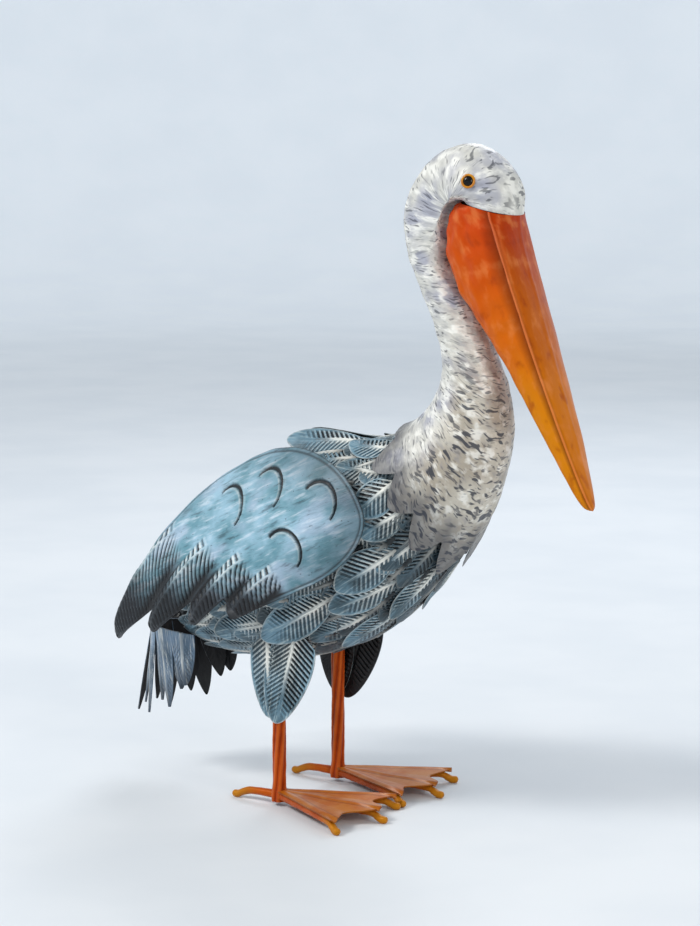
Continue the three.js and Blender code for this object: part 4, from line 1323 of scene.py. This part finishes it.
def build_web(side, sign):
    rows, columns = 70, 121
    first, last = TOES["inner"][0], TOES["outer"][0]
    across = np.linspace(0, 1, columns) + np.zeros((rows, 1))
    inward = np.linspace(0, 1, rows)[:, None]
    margin = TOE_ROD / 2 + 1
    start = LEG_ROD / 2 + 1
    toe_at = np.array([first, 0.0, last])
    guess = first + (last - first) * across
    gap = np.min(np.abs(guess[..., None] - toe_at), axis=-1)
    span = np.where(guess < 0, -first / 2, last / 2)
    scallop = ramp(0, 1, np.clip((gap - 2.2) / (span - 2.2), 0, 1)) ** 0.8
    edge = WEB_REACH + 2 - (WEB_DIP + 2) * scallop
    radius = start + (edge - start) * inward
    spread = np.degrees(np.arcsin(np.clip(margin / radius, 0, 0.8)))
    degrees = first - spread + (last - first + 2 * spread) * across
    aside = np.min(np.abs(np.radians(degrees[..., None] - toe_at)), axis=-1) * radius
    rib = bell(aside, 3.4)
    sag = ramp(0, 26, aside) * ramp(20, 70, radius)
    droop = ramp(WEB_REACH - 26, WEB_REACH + 4, radius) * rib
    level = WEB_LEVEL + 1.0 * rib - 2.2 * sag - 4.2 * droop
    level = level + 0.25 * ripple(stacked(radius, degrees, 0), 26, 2)
    crease = bell(aside - 5, 1.0)
    top = heading(degrees, radius, level + SHEET / 2)
    bottom = heading(degrees, radius, level - SHEET / 2)
    groove = np.clip(0.6 * crease + 0.4 * ramp(2, 0, edge - radius), 0, 1)
    values = {"groove": groove, "ridge": 0.3 * sag, "fade": rib * 0, "grain": top}
    shape = Shape()
    shape.add_sheet(on_side(top, sign), on_side(bottom, sign), values, mirror=sign > 0)
    piece(f"web_{side}", shape, WEB)


def build_feet():
    for side, sign in SIDES.items():
        build_leg(side, sign)
        for name in TOES:
            build_toe(name, side, sign)
        build_web(side, sign)


def build_floor():
    """A pale floor that curves up all round into a backdrop, with no edge in between."""
    flat, bend = 5.0, 2.6
    turn = np.linspace(0, math.pi / 2, 24)
    radius = np.concatenate([[0.01, 0.5, 2.0], flat + bend * np.sin(turn)])[:, None] / MM
    level = np.concatenate([[0, 0, 0], bend * (1 - np.cos(turn))])[:, None] / MM - 0.2
    around = full_turn(96)
    points = stacked(radius * np.cos(around), radius * np.sin(around), level)
    shape = Shape()
    shape.add_grid(points, {}, closed=True)
    floor = linked("floor", shape.mesh("floor"))
    paint = Paint("floor_paint")
    paint.set("Roughness", 0.8)
    cloud = paint.band(paint.noise(paint.place(), 0.004), 0.3, 0.7)
    paint.set("Base Color", paint.mix(cloud, (216, 220, 224), (222, 225, 228)))
    # The far part of the backdrop glows faintly: painted light that keeps it as pale as the lit
    # floor.
    away = paint.node("VectorMath", {0: paint.place()}, 1, operation="LENGTH")
    paint.set("Emission Color", (0.86, 0.93, 1, 1))
    paint.set("Emission Strength", paint.band(away, 1800, 6800, 0, 0.3))
    floor.data.materials.append(paint.material)


build_camera()
build_room()
build_floor()
build_skin()
build_jaw("bill_upper", True)
build_jaw("bill_lower", False)
build_eyes()
build_feathers()
build_thighs()
build_wings()
build_tail()
build_feet()
# The trunk shows only in the gaps between the feathers; it is painted near black, painted shade for
# those gaps.
for node in bpy.data.objects:
    if node.name == "trunk":
        node.data.materials.clear()
        node.data.materials.append(DARK)
